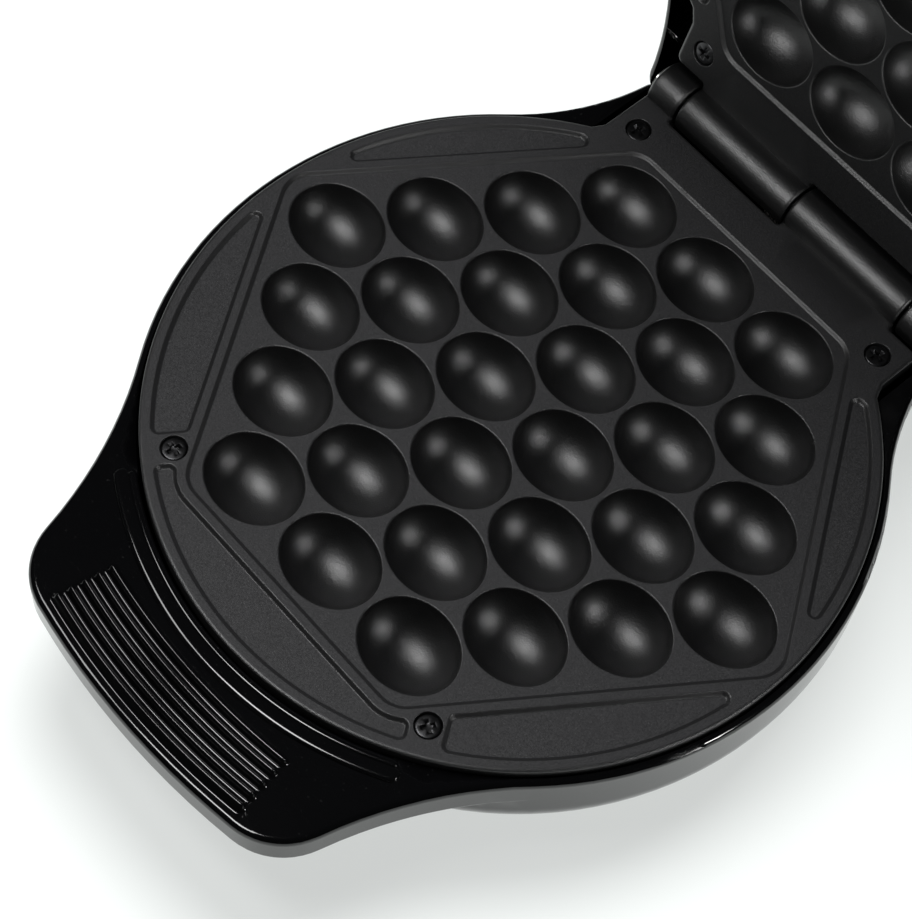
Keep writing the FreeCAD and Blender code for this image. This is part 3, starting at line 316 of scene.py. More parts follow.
def plate_outline():
    """Disc with its two ears and the webs that run to the knuckles."""
    side, back, web = PLATE["ear_side"], PLATE["ear_back"], PLATE["web_back"]
    centre = disc_centre()
    meets = centre[1] + math.sqrt(PLATE["radius"] ** 2 - side ** 2)
    start = angle(centre, (side, meets))
    corners = [(side, 60), (side, back), (45.2, back), (45.2, web), (0.35, web), (0.35, back),
               (-45.9, back), (-45.9, web), (-side, web), (-side, 60)]
    radii = [0.1, 2.5, 1.2, 1.6, 1.6, 1.2, 1.2, 1.6, 1.6, 0.1]
    loop = rounded(corners, radii, 1.5)
    ears = loop[loop[:, 1] > meets + 2]
    ears = np.roll(ears, -np.argmax(np.linalg.norm(ears - np.roll(ears, 1, axis=0), axis=1)), axis=0)
    disc = arc(centre, PLATE["radius"], 180 - start, 360 + start)
    disc = disc[(np.abs(disc[:, 0]) > side + 1.5) | (disc[:, 1] < 0)]
    return np.vstack([ears, disc])


def pocket_outlines():
    """The five shallow pockets around the field: one in front, two at each side."""
    centre, radius = disc_centre(), PLATE["pocket_radius"]
    corners = [np.array(corner, float) for corner in field_corners(PLATE["pocket_land"])]
    right, rear, front = corners[0], corners[1], corners[5]
    loops = []

    land = PLATE["pocket_screw_land"]
    screw = np.array(SCREWS[1])
    outward = (screw - centre) / np.linalg.norm(screw - centre)
    aside = np.array([-outward[1], outward[0]])
    inner = rounded(corners, PLATE["field_round"] + PLATE["pocket_land"], 0.8)
    beside = (np.abs(inner) * (1, -1) - screw) @ aside
    kept = (inner[:, 1] < screw[1]) & (beside < -land)
    inner = inner[kept][np.argsort(-inner[kept, 0])]
    inner[0] += aside * (-land - (inner[0] - screw) @ aside)
    inner[-1] = inner[0] * (-1, 1)
    rim = crossing(centre, radius, screw - aside * land, outward)
    turn = angle(centre, rim)
    bow = arc(centre, radius, -180 - turn, turn)
    ends = straight(rim, inner[0], 0.8), straight(inner[-1], rim * (-1, 1), 0.8)
    loops.append(softened([bow, ends[0], inner[:-1], ends[1]], PLATE["pocket_round"]))

    rim = crossing(centre, radius, screw + aside * land, outward)
    share = (land - (front - screw) @ aside) / ((right - front) @ aside)
    edge = front + (right - front) * share
    tip = crossing(centre, radius, front, right - front)
    low = arc(centre, radius, angle(centre, rim), angle(centre, tip))
    loops.append(softened([low, straight(tip, edge), straight(edge, rim, 0.8)], PLATE["pocket_round"]))

    tip = crossing(centre, radius, rear, right - rear)
    back = np.array([math.sqrt(radius ** 2 - (PLATE["pocket_ear_back"] - centre[1]) ** 2), PLATE["pocket_ear_back"]])
    share = (PLATE["pocket_ear_back"] - right[1]) / (rear[1] - right[1])
    inner = right + (rear - right) * share
    bow = arc(centre, radius, angle(centre, tip), angle(centre, back))
    loops.append(softened([bow, straight(back, inner), straight(inner, tip)], PLATE["pocket_round"]))

    mirrored = [loop[::-1] * (-1, 1) for loop in loops[1:]]
    return loops + mirrored


def plate_skin(skin):
    """Upper face, edge and underside of the casting, with the field, pockets and recesses."""
    top, field = FACE, FACE - PLATE["field_step"]
    floor = FACE - PLATE["pocket_depth"]
    bottom = FACE - PLATE["thickness"]
    outline = plate_outline()
    wide, drop = PLATE["edge_wide"], PLATE["edge_drop"]
    upper = [(-wide + wide * math.sin(a), top - drop + drop * math.cos(a)) for a in np.radians(np.linspace(0, 90, 8))]
    lower = [(-0.8, bottom), (-0.5, bottom), (-0.15, bottom + 0.15), (0, bottom + 0.5)]
    low, high = skin.steps(outline, lower + upper[::-1] + [(-wide - 0.2, top)])

    holes = []
    hexagon = rounded(field_corners(0), PLATE["field_round"])
    inner, outer = skin.steps(hexagon, wave(PLATE["field_step_width"], field, top))
    holes.append(outer)
    well_holes = [skin.ring(well_loop(WELL["lip"] + 0.1) + place, field) for place in well_places()]
    skin.flat(inner, well_holes)

    for loop in pocket_outlines():
        inner, outer = skin.steps(loop, wave(PLATE["pocket_step_width"], floor, top))
        skin.flat(inner)
        holes.append(outer)

    under = []
    for place in SCREWS:
        hole = circle(PLATE["recess_radius"], 0.7) + place
        seat = top - PLATE["recess_depth"]
        first, last = skin.steps(hole, [(0, seat)] + lip_profile(top, PLATE["recess_lip"]))
        skin.flat(first)
        holes.append(last)
        shank = skin.ring(circle(2.2, 0.7) + place, bottom)
        skin.pole(shank, (*place, bottom + 0.5), up=False)
        under.append(shank)
    skin.flat(high, holes)

    caps = [skin.ring(well_loop(0, WELL["wall"], field - bottom) + place, bottom) for place in well_places()]
    skin.flat(low, caps + under, up=False)


def lip_profile(top, radius):
    """Profile of a hole's rounded upper edge, from its wall outward to the flat around it."""
    turn = np.radians(np.linspace(0, 90, 4))
    profile = [(radius - radius * math.cos(a), top - radius + radius * math.sin(a)) for a in turn]
    return profile + [(radius * 1.3, top)]


def circle(radius, step=STEP):
    return arc((0, 0), radius, 0, 360, step)


def well_cup():
    """One well: a rounded lip that falls into an egg-shaped hollow, and the cap that holds it below."""
    skin = Skin()
    field = FACE - PLATE["field_step"]
    lip, depth = WELL["lip"], WELL["depth"]
    rings = [skin.ring(well_loop(lip + 0.1), field)]
    for turn in np.radians(np.linspace(0, 75, 5)):
        rings.append(skin.ring(well_loop(lip - lip * math.sin(turn)), field - lip + lip * math.cos(turn)))
    for turn in np.linspace(math.asin(lip / depth) * 1.15, math.pi / 2, WELL["rings"])[:-1]:
        drop = depth * math.sin(turn)
        rings.append(skin.ring(well_loop(0, 0, drop), field - drop))
    for first, second in zip(rings, rings[1:]):
        skin.strip(second, first)
    skin.pole(rings[-1], (0, 0, field - depth))

    wall = WELL["wall"]
    start = math.asin((PLATE["thickness"] - PLATE["field_step"]) / (depth + wall))
    rings = []
    for turn in np.linspace(start, math.pi / 2, 9)[:-1]:
        drop = (depth + wall) * math.sin(turn)
        rings.append(skin.ring(well_loop(0, wall, drop), field - drop))
    for first, second in zip(rings, rings[1:]):
        skin.strip(second, first)
    skin.pole(rings[-1], (0, 0, field - depth - wall), up=False)
    return skin.finish("well_cup")


def barrel(mesh, start, end):
    """One knuckle: a tube along the hinge with rounded ends, added to a mesh."""
    radius, bore, edge = KNUCKLE["radius"], KNUCKLE["bore"], KNUCKLE["end_round"]
    profile = [(start, bore)]
    for turn in np.radians(np.linspace(0, 90, 6)):
        profile.append((start + edge - edge * math.cos(turn), radius - edge + edge * math.sin(turn)))
    profile += [(x, radius) for x in np.linspace(start + edge, end - edge, 6)[1:-1]]
    for turn in np.radians(np.linspace(90, 0, 6)):
        profile.append((end - edge + edge * math.cos(turn), radius - edge + edge * math.sin(turn)))
    profile.append((end, bore))
    turn = np.linspace(0, 2 * np.pi, KNUCKLE["around"] + 1)[:-1]
    rings = [[mesh.verts.new((x * MM, (HINGE_BACK + r * math.cos(a)) * MM, (HINGE_HEIGHT + r * math.sin(a)) * MM))
              for a in turn] for x, r in profile]
    for first, second in zip(rings, rings[1:] + rings[:1]):
        for index in range(len(turn)):
            following = (index + 1) % len(turn)
            mesh.faces.new((first[index], first[following], second[following], second[index]))


# Geometry node trees

class Tree:
    """A geometry node tree with named inputs, and short calls to add and join nodes."""

    def __init__(self, name, inputs):
        self.tree = bpy.data.node_groups.new(name, "GeometryNodeTree")
        for label, kind in inputs:
            self.tree.interface.new_socket(label, in_out="INPUT", socket_type="NodeSocket" + kind)
        self.tree.interface.new_socket("Geometry", in_out="OUTPUT", socket_type="NodeSocketGeometry")
        self.source = self.tree.nodes.new("NodeGroupInput")
        self.result = self.tree.nodes.new("NodeGroupOutput")

    def add(self, kind, values=None, **settings):
        """A node with its settings, and its inputs set to values or joined to other sockets."""
        node = self.tree.nodes.new(kind)
        for setting, value in settings.items():
            setattr(node, setting, value)
        for key, value in (values or {}).items():
            socket = node.inputs[key]
            if isinstance(value, bpy.types.NodeSocket):
                self.tree.links.new(value, socket)
            else:
                socket.default_value = value
        return node

    def given(self, label):
        return self.source.outputs[label]

    def calculate(self, operation, first, second=0.0):
        return self.add("ShaderNodeMath", {0: first, 1: second}, operation=operation).outputs[0]

    def end(self, geometry):
        """Realize the instances, set the material and hand over the result."""
        real = self.add("GeometryNodeRealizeInstances", {"Geometry": geometry})
        painted = self.add("GeometryNodeSetMaterial", {"Geometry": real.outputs[0], "Material": self.given("Material")})
        self.tree.links.new(painted.outputs[0], self.result.inputs[0])
        return self.tree


def grown(name, data, tree, values):
    """The mesh that a tree makes of some data, as a plain mesh."""
    item = bpy.data.objects.new(name, data)
    bpy.context.scene.collection.objects.link(item)
    modifier = item.modifiers.new("grow", "NODES")
    modifier.node_group = tree
    for socket in tree.interface.items_tree:
        if socket.in_out == "INPUT" and socket.name in values:
            modifier[socket.identifier] = values[socket.name]
    view = bpy.context.evaluated_depsgraph_get()
    mesh = bpy.data.meshes.new_from_object(item.evaluated_get(view))
    bpy.data.objects.remove(item)
    return mesh


def spots(places, height):
    """A mesh of loose points, one at each place."""
    data = bpy.data.meshes.new("spots")
    data.from_pydata([(x * MM, y * MM, height * MM) for x, y in places], [], [])
    return data


def repeated_tree():
    """A piece set at every point, each turned by its own random angle."""
    tree = Tree("repeated_piece", [("Geometry", "Geometry"), ("Piece", "Object"), ("Turn", "Float"),
                                   ("Seed", "Int"), ("Material", "Material")])
    piece = tree.add("GeometryNodeObjectInfo", {"Object": tree.given("Piece")})
    turn = tree.add("FunctionNodeRandomValue", {"Min": 0.0, "Max": tree.given("Turn"), "Seed": tree.given("Seed")},
                    data_type="FLOAT")
    way = tree.add("ShaderNodeCombineXYZ", {"Z": turn.outputs["Value"]})
    set_out = tree.add("GeometryNodeInstanceOnPoints", {"Points": tree.given("Geometry"),
                                                        "Instance": piece.outputs["Geometry"],
                                                        "Rotation": way.outputs[0]})
    return tree.end(set_out.outputs["Instances"])


def rib_tree():
    """Raised ribs with round ends on arcs about one centre. A rib falls off softly on every side."""
    tree = Tree("raised_ribs", [("Geometry", "Geometry"), ("Centre", "Vector"), ("Radius", "Float"),
                                ("Pitch", "Float"), ("Half Angle", "Float"), ("Half Width", "Float"),
                                ("Flat", "Float"), ("Round", "Float"),
                                ("Lean", "Float"), ("Rise", "Float"), ("Sink", "Float"), ("Material", "Material")])
    number = tree.add("GeometryNodeInputIndex").outputs[0]
    kept = tree.add("GeometryNodeCaptureAttribute", {"Geometry": tree.given("Geometry")}, domain="POINT")
    kept.capture_items.new("FLOAT", "rib")
    tree.tree.links.new(number, kept.inputs[1])
    block = tree.add("GeometryNodeMeshCube", {"Size": (2, 2, 2), "Vertices X": RELIEF["along"],
                                              "Vertices Y": RELIEF["across"], "Vertices Z": 2})
    blocks = tree.add("GeometryNodeInstanceOnPoints", {"Points": kept.outputs[0], "Instance": block.outputs[0]})
    real = tree.add("GeometryNodeRealizeInstances", {"Geometry": blocks.outputs[0]})

    spot = tree.add("ShaderNodeSeparateXYZ", {0: tree.add("GeometryNodeInputPosition").outputs[0]})
    radius = tree.calculate("SUBTRACT", tree.given("Radius"),
                            tree.calculate("MULTIPLY", kept.outputs[1], tree.given("Pitch")))
    length = tree.calculate("MULTIPLY", radius, tree.given("Half Angle"))
    eased = tree.calculate("SINE", tree.calculate("MULTIPLY", spot.outputs["X"], math.pi / 2))
    along = tree.calculate("MULTIPLY", eased, tree.calculate("ADD", length, tree.given("Half Width")))
    across = tree.calculate("MULTIPLY", spot.outputs["Y"], tree.given("Half Width"))

    past = tree.calculate("MAXIMUM", tree.calculate("SUBTRACT", tree.calculate("ABSOLUTE", along), length), 0.0)
    past = tree.calculate("DIVIDE", past, tree.given("Half Width"))
    behind = tree.calculate("SUBTRACT", spot.outputs["Y"], tree.given("Lean"))
    room = tree.calculate("MULTIPLY", tree.calculate("SIGN", behind), tree.given("Lean"))
    aside = tree.calculate("DIVIDE", behind, tree.calculate("SUBTRACT", 1.0, room))
    away = tree.calculate("SQRT", tree.calculate("ADD", tree.calculate("MULTIPLY", past, past),
                                                 tree.calculate("MULTIPLY", aside, aside)))
    share = tree.add("ShaderNodeMapRange", {"Value": away, "From Min": tree.given("Flat"), "From Max": 1.0}).outputs[0]
    swung = tree.calculate("COSINE", tree.calculate("MULTIPLY", share, math.pi))
    bell = tree.calculate("MULTIPLY", tree.calculate("ADD", swung, 1.0), 0.5)
    round_edge = tree.calculate("SQRT", tree.calculate("SUBTRACT", 1.0, tree.calculate("MULTIPLY", share, share)))
    more = tree.calculate("MULTIPLY", tree.calculate("SUBTRACT", round_edge, bell), tree.given("Round"))
    upper = tree.calculate("MULTIPLY", tree.calculate("ADD", bell, more), tree.given("Rise"))
    top = tree.calculate("GREATER_THAN", spot.outputs["Z"], 0.0)
    lifted = tree.calculate("MULTIPLY", tree.calculate("ADD", upper, tree.given("Sink")), top)
    height = tree.calculate("SUBTRACT", lifted, tree.given("Sink"))

    turn = tree.calculate("DIVIDE", along, radius)
    reach = tree.calculate("SUBTRACT", radius, across)
    right = tree.calculate("MULTIPLY", reach, tree.calculate("SINE", turn))
    ahead = tree.calculate("MULTIPLY", tree.calculate("MULTIPLY", reach, tree.calculate("COSINE", turn)), -1.0)
    place = tree.add("ShaderNodeCombineXYZ", {"X": right, "Y": ahead, "Z": height})
    set_on = tree.add("ShaderNodeVectorMath", {0: place.outputs[0], 1: tree.given("Centre")}, operation="ADD")
    shaped = tree.add("GeometryNodeSetPosition", {"Geometry": real.outputs[0], "Position": set_on.outputs[0]})
    return tree.end(shaped.outputs[0])


# Pieces

def object_of(name, data):
    item = bpy.data.objects.new(name, data)
    bpy.context.scene.collection.objects.link(item)
    return item


def lid_place():
    """Turns a piece of the lower half over, and swings it open about the hinge."""
    axis = Vector((0, HINGE_BACK * MM, HINGE_HEIGHT * MM))
    swing = Matrix.Rotation(math.radians(-OPEN_ANGLE), 4, "X") @ Matrix.Rotation(math.pi, 4, "Y")
    return Matrix.Translation(axis) @ swing @ Matrix.Translation(-axis)


def cooking_plate(wells_tree, material):
    """The whole casting: skin, thirty wells and two knuckles, welded into one mesh."""
    skin = Skin()
    plate_skin(skin)
    cup = well_cup()
    cups = grown("cups", spots(well_places(), 0), wells_tree, {"Piece": cup, "Material": material})
    skin.mesh.from_mesh(cups)
    for start, end in KNUCKLE["spans"]:
        barrel(skin.mesh, start, end)
    bpy.data.objects.remove(cup)
    plate = skin.finish("plate_casting")
    # Mark where the coat is smoother and painted darker as shade: wells, step walls, knuckles.
    mark_smooth_and_shade(plate.data)
    plate.data.materials.clear()
    plate.data.materials.append(material)
    return plate


def mark_smooth_and_shade(data):
    """Store how far each point lies in a well, on a step wall or on a knuckle, where the coating is smoother and its
    colour is darkened as painted shade.
    """
    coords = np.empty(len(data.vertices) * 3)
    data.vertices.foreach_get("co", coords)
    coords = coords.reshape(-1, 3) / MM
    drop = FACE - PLATE["field_step"] - coords[:, 2]
    share = np.zeros(len(coords))
    for x, y in well_places():
        inside = np.hypot((coords[:, 0] - x) / WELL["length"], (coords[:, 1] - y) / WELL["width"]) < 1.01
        share[inside] = np.clip(drop[inside] / WELL["lip"], 0, 1)
    flats = np.array([FACE, FACE - PLATE["field_step"], FACE - PLATE["pocket_depth"]])
    from_flat = np.abs(coords[:, 2, None] - flats).min(axis=1)
    # Step walls get the same mark: painted shade on them, and a smoother coat.
    wall = (drop < PLATE["pocket_depth"]) & (from_flat > 0.02)
    share[wall] = np.maximum(share[wall], PLATE["step_wall_shade_share"])
    from_pin = np.hypot(coords[:, 1] - HINGE_BACK, coords[:, 2] - HINGE_HEIGHT)
    share[from_pin < KNUCKLE["radius"] + 0.1] = 1
    data.attributes.new("smooth_coat_and_shade", "FLOAT", "POINT").data.foreach_set("value", share)


def polished(node, place=None, sharp=30.0):
    """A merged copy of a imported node, smooth over its rounds and crisp at its edges.

    In a casing half, whose place is given, the relief is levelled with its face, to bear the finer one.
    """
    mesh = bmesh.new()
    mesh.from_mesh(frame["nodes"][node].data)
    if place:
        home = place.inverted()
        for vert in mesh.verts:
            spot = home @ vert.co
            if spot.z > (RIM + 0.01) * MM:
                spot.z = RIM * MM
                vert.co = place @ spot
    bmesh.ops.remove_doubles(mesh, verts=mesh.verts, dist=2e-6)
    bmesh.ops.dissolve_degenerate(mesh, edges=mesh.edges, dist=1e-7)
    data = bpy.data.meshes.new(node + "_skin")
    mesh.to_mesh(data)
    mesh.free()
    data.shade_smooth()
    data.set_sharp_from_angle(angle=math.radians(sharp))
    item = object_of(node + "_skin", data)
    weighted = item.modifiers.new("even_shading", "WEIGHTED_NORMAL")
    weighted.keep_sharp = True
    weighted.weight = 50
    return item


def cross_screw():
    """Pan head with a cross recess, its seat at the height of the recess floor, at the origin."""
    head = bmesh.new()
    radius, height, dome = SCREW["head"], SCREW["rise"], SCREW["dome"]
    profile = [(radius, 0.0), (radius, height - dome)]
    profile += [(radius - dome * 0.9 * (1 - math.cos(a)), height - dome + dome * 0.8 * math.sin(a))
                for a in np.radians([30, 60, 90])]
    profile.append((radius * 0.35, height))
    turn = np.linspace(0, 2 * np.pi, 49)[:-1]
    rings = [[head.verts.new((r * math.cos(a) * MM, r * math.sin(a) * MM, z * MM)) for a in turn] for r, z in profile]
    for first, second in zip(rings, rings[1:]):
        for index in range(len(turn)):
            following = (index + 1) % len(turn)
            head.faces.new((first[index], first[following], second[following], second[index]))
    head.faces.new(rings[-1])
    head.faces.new(rings[0][::-1])
    body = head_object("screw_head", head)

    cross = bmesh.new()
    long, wide, deep = SCREW["cross"] / 2, SCREW["slot"] / 2, SCREW["deep"]
    for along, across in ((long, wide), (wide, long)):
        upper = [(along, across), (-along, across), (-along, -across), (along, -across)]
        lower = [(x * 0.6 if abs(x) == long else x, y * 0.6 if abs(y) == long else y) for x, y in upper]
        top = [cross.verts.new((x * MM, y * MM, (height + 0.5) * MM)) for x, y in upper]
        low = [cross.verts.new((x * MM, y * MM, (height - deep) * MM)) for x, y in lower]
        cross.faces.new(top)
        cross.faces.new(low[::-1])
        for index in range(4):
            following = (index + 1) % 4
            cross.faces.new((low[index], low[following], top[following], top[index]))
    cutter = head_object("screw_cross", cross)
    cutting = body.modifiers.new("recess", "BOOLEAN")
    cutting.operation = "DIFFERENCE"
    cutting.solver = "EXACT"
    cutting.use_self = True
    cutting.object = cutter
    soft = body.modifiers.new("edges", "BEVEL")
    soft.width = SCREW["edge"] * MM
    soft.segments = 2
    soft.angle_limit = math.radians(40)
    view = bpy.context.evaluated_depsgraph_get()
    data = bpy.data.meshes.new_from_object(body.evaluated_get(view))
    data.shade_smooth()
    data.set_sharp_from_angle(angle=math.radians(35))
    bpy.data.objects.remove(body)
    bpy.data.objects.remove(cutter)
    return object_of("cross_screw", data)


def head_object(name, mesh):
    bmesh.ops.recalc_face_normals(mesh, faces=mesh.faces)
    data = bpy.data.meshes.new(name)
    mesh.to_mesh(data)
    mesh.free()
    return object_of(name, data)


def joined(name, meshes):
    """Several plain meshes as one object."""
    whole = bmesh.new()
    for data in meshes:
        whole.from_mesh(data)
    result = bpy.data.meshes.new(name)
    whole.to_mesh(result)
    whole.free()
    for material in meshes[0].materials:
        result.materials.append(material)
    return object_of(name, result)


def grip_relief(tree, material):
    """The grip's ribs, and the band with its lip beside the plate."""
    meshes = []
    for form in (RIBS, BAND, LIP):
        meshes.append(grown("ribs", spots([(0, 0)] * form["count"], 0), tree, {
            "Centre": (0, form["centre"] * MM, RIM * MM), "Radius": form["radius"] * MM, "Pitch": form["pitch"] * MM,
            "Half Angle": math.radians(form["angle"]), "Half Width": form["width"] / 2 * MM, "Flat": form["flat"],
            "Round": form["round"], "Lean": form["lean"], "Rise": form["rise"] * MM, "Sink": RELIEF["sink"] * MM, "Material": material}))
    relief = joined("grip_relief", meshes)
    relief.data.shade_smooth()
    relief.data.set_sharp_from_angle(angle=math.radians(75))
    return relief


# Finishes

class Shades:
    """A shader tree: a material's own, or a group's, with short calls to add and join nodes."""

    def __init__(self, tree):
        self.tree = tree

    def add(self, kind, values=None, **settings):
        node = self.tree.nodes.new(kind)
        for setting, value in settings.items():
            setattr(node, setting, value)
        for key, value in (values or {}).items():
            socket = node.inputs[key]
            if isinstance(value, bpy.types.NodeSocket):
                self.tree.links.new(value, socket)
            else:
                socket.default_value = value
        return node

    def placed(self, scale=(1, 1, 1)):
        """Object coordinates, stretched where a grain has a direction."""
        where = self.add("ShaderNodeTexCoord").outputs["Object"]
        return self.add("ShaderNodeMapping", {"Vector": where, "Scale": scale}).outputs[0]

    def noise(self, vector, scale, detail=2.0, rough=0.5):
        return self.add("ShaderNodeTexNoise", {"Vector": vector, "Scale": scale, "Detail": detail,
                                               "Roughness": rough}).outputs[0]

    def ranged(self, value, low, high, to_low=0.0, to_high=1.0):
        node = self.add("ShaderNodeMapRange", {"Value": value, "From Min": low, "From Max": high,
                                               "To Min": to_low, "To Max": to_high})
        return node.outputs[0]

    def mixed(self, share, first, second):
        node = self.add("ShaderNodeMix", data_type="RGBA")
        for socket, value in ((node.inputs["Factor"], share), (node.inputs[6], first), (node.inputs[7], second)):
            if isinstance(value, bpy.types.NodeSocket):
                self.tree.links.new(value, socket)
            else:
                socket.default_value = value
        return node.outputs[2]


def shader_group(name, inputs, outputs):
    tree = bpy.data.node_groups.new(name, "ShaderNodeTree")
    for label, kind in inputs:
        tree.interface.new_socket(label, in_out="INPUT", socket_type="NodeSocket" + kind)
    for label in outputs:
        tree.interface.new_socket(label, in_out="OUTPUT", socket_type="NodeSocketFloat")
    shades = Shades(tree)
    source = tree.nodes.new("NodeGroupInput")
    result = tree.nodes.new("NodeGroupOutput")
    return shades, source.outputs, result.inputs


def speckle_group():
    """Fine mottling of a sprayed coating, and the sparse bright grains in it."""
    shades, given, out = shader_group("speckle", [("Vector", "Vector"), ("Scale", "Float"), ("Rarity", "Float")],
                                      ["Mottle", "Grains", "Height"])
    coarse = shades.noise(given["Vector"], given["Scale"], 3.0, 0.7)
    shades.tree.links.new(shades.ranged(coarse, 0.36, 0.64), out["Mottle"])
    shades.tree.links.new(coarse, out["Height"])
    finer = shades.add("ShaderNodeMath", {0: given["Scale"], 1: 1.6}, operation="MULTIPLY").outputs[0]
    grains = shades.noise(given["Vector"], finer, 1.0, 0.5)
    above = shades.add("ShaderNodeMath", {0: grains, 1: given["Rarity"]}, operation="SUBTRACT").outputs[0]
    shades.tree.links.new(shades.ranged(above, 0.0, 0.06), out["Grains"])
    return shades.tree


def handling_group():
    """Slow changes over a surface from handling and moulding, and fine dust on it."""
    shades, given, out = shader_group("handling", [("Vector", "Vector"), ("Scale", "Float"), ("Dust", "Float")],
                                      ["Smear", "Dust", "Height"])
    slow = shades.noise(given["Vector"], given["Scale"], 4.0, 0.55)
    shades.tree.links.new(shades.ranged(slow, 0.35, 0.7), out["Smear"])
    fine = shades.add("ShaderNodeMath", {0: given["Scale"], 1: 90.0}, operation="MULTIPLY").outputs[0]
    dust = shades.noise(given["Vector"], fine, 0.0, 0.5)
    above = shades.add("ShaderNodeMath", {0: dust, 1: given["Dust"]}, operation="SUBTRACT").outputs[0]
    shades.tree.links.new(shades.ranged(above, 0.0, 0.04), out["Dust"])
    shades.tree.links.new(slow, out["Height"])
    return shades.tree


def finish_base(name, color, roughness, metallic=0.0, **values):
    """A new material with its Principled shader set, and the tree it is built in."""
    material = bpy.data.materials.new(name)
    material.use_nodes = True
    shades = Shades(material.node_tree)
    shader = material.node_tree.nodes["Principled BSDF"]
    shader.inputs["Base Color"].default_value = (*color, 1)
    shader.inputs["Roughness"].default_value = roughness
    shader.inputs["Metallic"].default_value = metallic
    for label, value in values.items():
        shader.inputs[label.replace("_", " ")].default_value = value
    return material, shades, shader


def relieve(shades, shader, height, strength, distance):
    """Small relief of a surface from a height, in millimetres."""
    bump = shades.add("ShaderNodeBump", {"Height": height, "Strength": strength, "Distance": distance * MM})
    shades.tree.links.new(bump.outputs[0], shader.inputs["Normal"])


def coated_metal(name, speckle, dark, light, grain, smooth, roughness, scale, rarity=0.70):
    """Non-stick coating: mottled charcoal with sparse lighter grains, smoother in the marked places, where its colour
    is darkened as painted shade.
    """
    material, shades, shader = finish_base(name, dark, roughness[0])
    where = shades.placed()
    marks = shades.add("ShaderNodeGroup", node_tree=speckle)
    shades.tree.links.new(where, marks.inputs["Vector"])
    marks.inputs["Scale"].default_value = scale
    marks.inputs["Rarity"].default_value = rarity
    ground = shades.mixed(marks.outputs["Mottle"], (*dark, 1), (*light, 1))
    rough_coat = shades.mixed(marks.outputs["Grains"], ground, (*grain, 1))
    # The mark's darker colour is painted shade in the wells, on step walls and knuckles; it also sets a smoother,
    # shinier coat there.
    share = shades.add("ShaderNodeAttribute", attribute_name="smooth_coat_and_shade").outputs["Fac"]
    shades.tree.links.new(shades.mixed(share, rough_coat, (*smooth, 1)), shader.inputs["Base Color"])
    shades.tree.links.new(shades.ranged(share, 0, 1, *roughness), shader.inputs["Roughness"])
    shades.tree.links.new(shades.ranged(share, 0, 1, 0.2, 1.0), shader.inputs["Specular IOR Level"])
    relieve(shades, shader, marks.outputs["Height"], 0.8, 0.11)
    return material


def moulded(name, handling, color, roughness, dust=0.83, scale=18.0, relief=(0.2, 0.05), **values):
    """Moulded plastic or rubber: even colour, slow changes of gloss and a little dust."""
    material, shades, shader = finish_base(name, color, roughness[0], **values)
    marks = shades.add("ShaderNodeGroup", node_tree=handling)
    shades.tree.links.new(shades.placed(), marks.inputs["Vector"])
    marks.inputs["Scale"].default_value = scale
    marks.inputs["Dust"].default_value = dust
    dusty = tuple(min(1.0, c * 2.2 + 0.006) for c in color)
    shades.tree.links.new(shades.mixed(marks.outputs["Dust"], (*color, 1), (*dusty, 1)), shader.inputs["Base Color"])
    shades.tree.links.new(shades.ranged(marks.outputs["Smear"], 0, 1, *roughness), shader.inputs["Roughness"])
    relieve(shades, shader, marks.outputs["Height"], *relief)
    return material


def metal(name, handling, color, roughness, grain=(1, 1, 1)):
    """Bare or plated metal with a faint brushed or rolled grain."""
    material, shades, shader = finish_base(name, color, roughness[0], 1.0)
    where = shades.placed(grain)
    marks = shades.add("ShaderNodeGroup", node_tree=handling)
    shades.tree.links.new(where, marks.inputs["Vector"])
    marks.inputs["Scale"].default_value = 60.0
    marks.inputs["Dust"].default_value = 0.72
    darker = tuple(c * 0.7 for c in color)
    shades.tree.links.new(shades.mixed(marks.outputs["Smear"], (*color, 1), (*darker, 1)), shader.inputs["Base Color"])
    shades.tree.links.new(shades.ranged(marks.outputs["Smear"], 0, 1, *roughness), shader.inputs["Roughness"])
    relieve(shades, shader, shades.noise(where, 900.0, 1.0), 0.2, 0.02)
    return material


def woven_sleeve(name):
    """Glass-fibre sleeve of a lead: crossing threads."""
    material, shades, shader = finish_base(name, (0.6, 0.58, 0.52), 0.85)
    where = shades.placed()
    threads = shades.add("ShaderNodeTexWave", {"Vector": where, "Scale": 420.0, "Distortion": 1.2}).outputs[1]
    color = shades.mixed(threads, (0.42, 0.40, 0.35, 1), (0.72, 0.70, 0.64, 1))
    shades.tree.links.new(color, shader.inputs["Base Color"])
    relieve(shades, shader, threads, 0.6, 0.1)
    return material


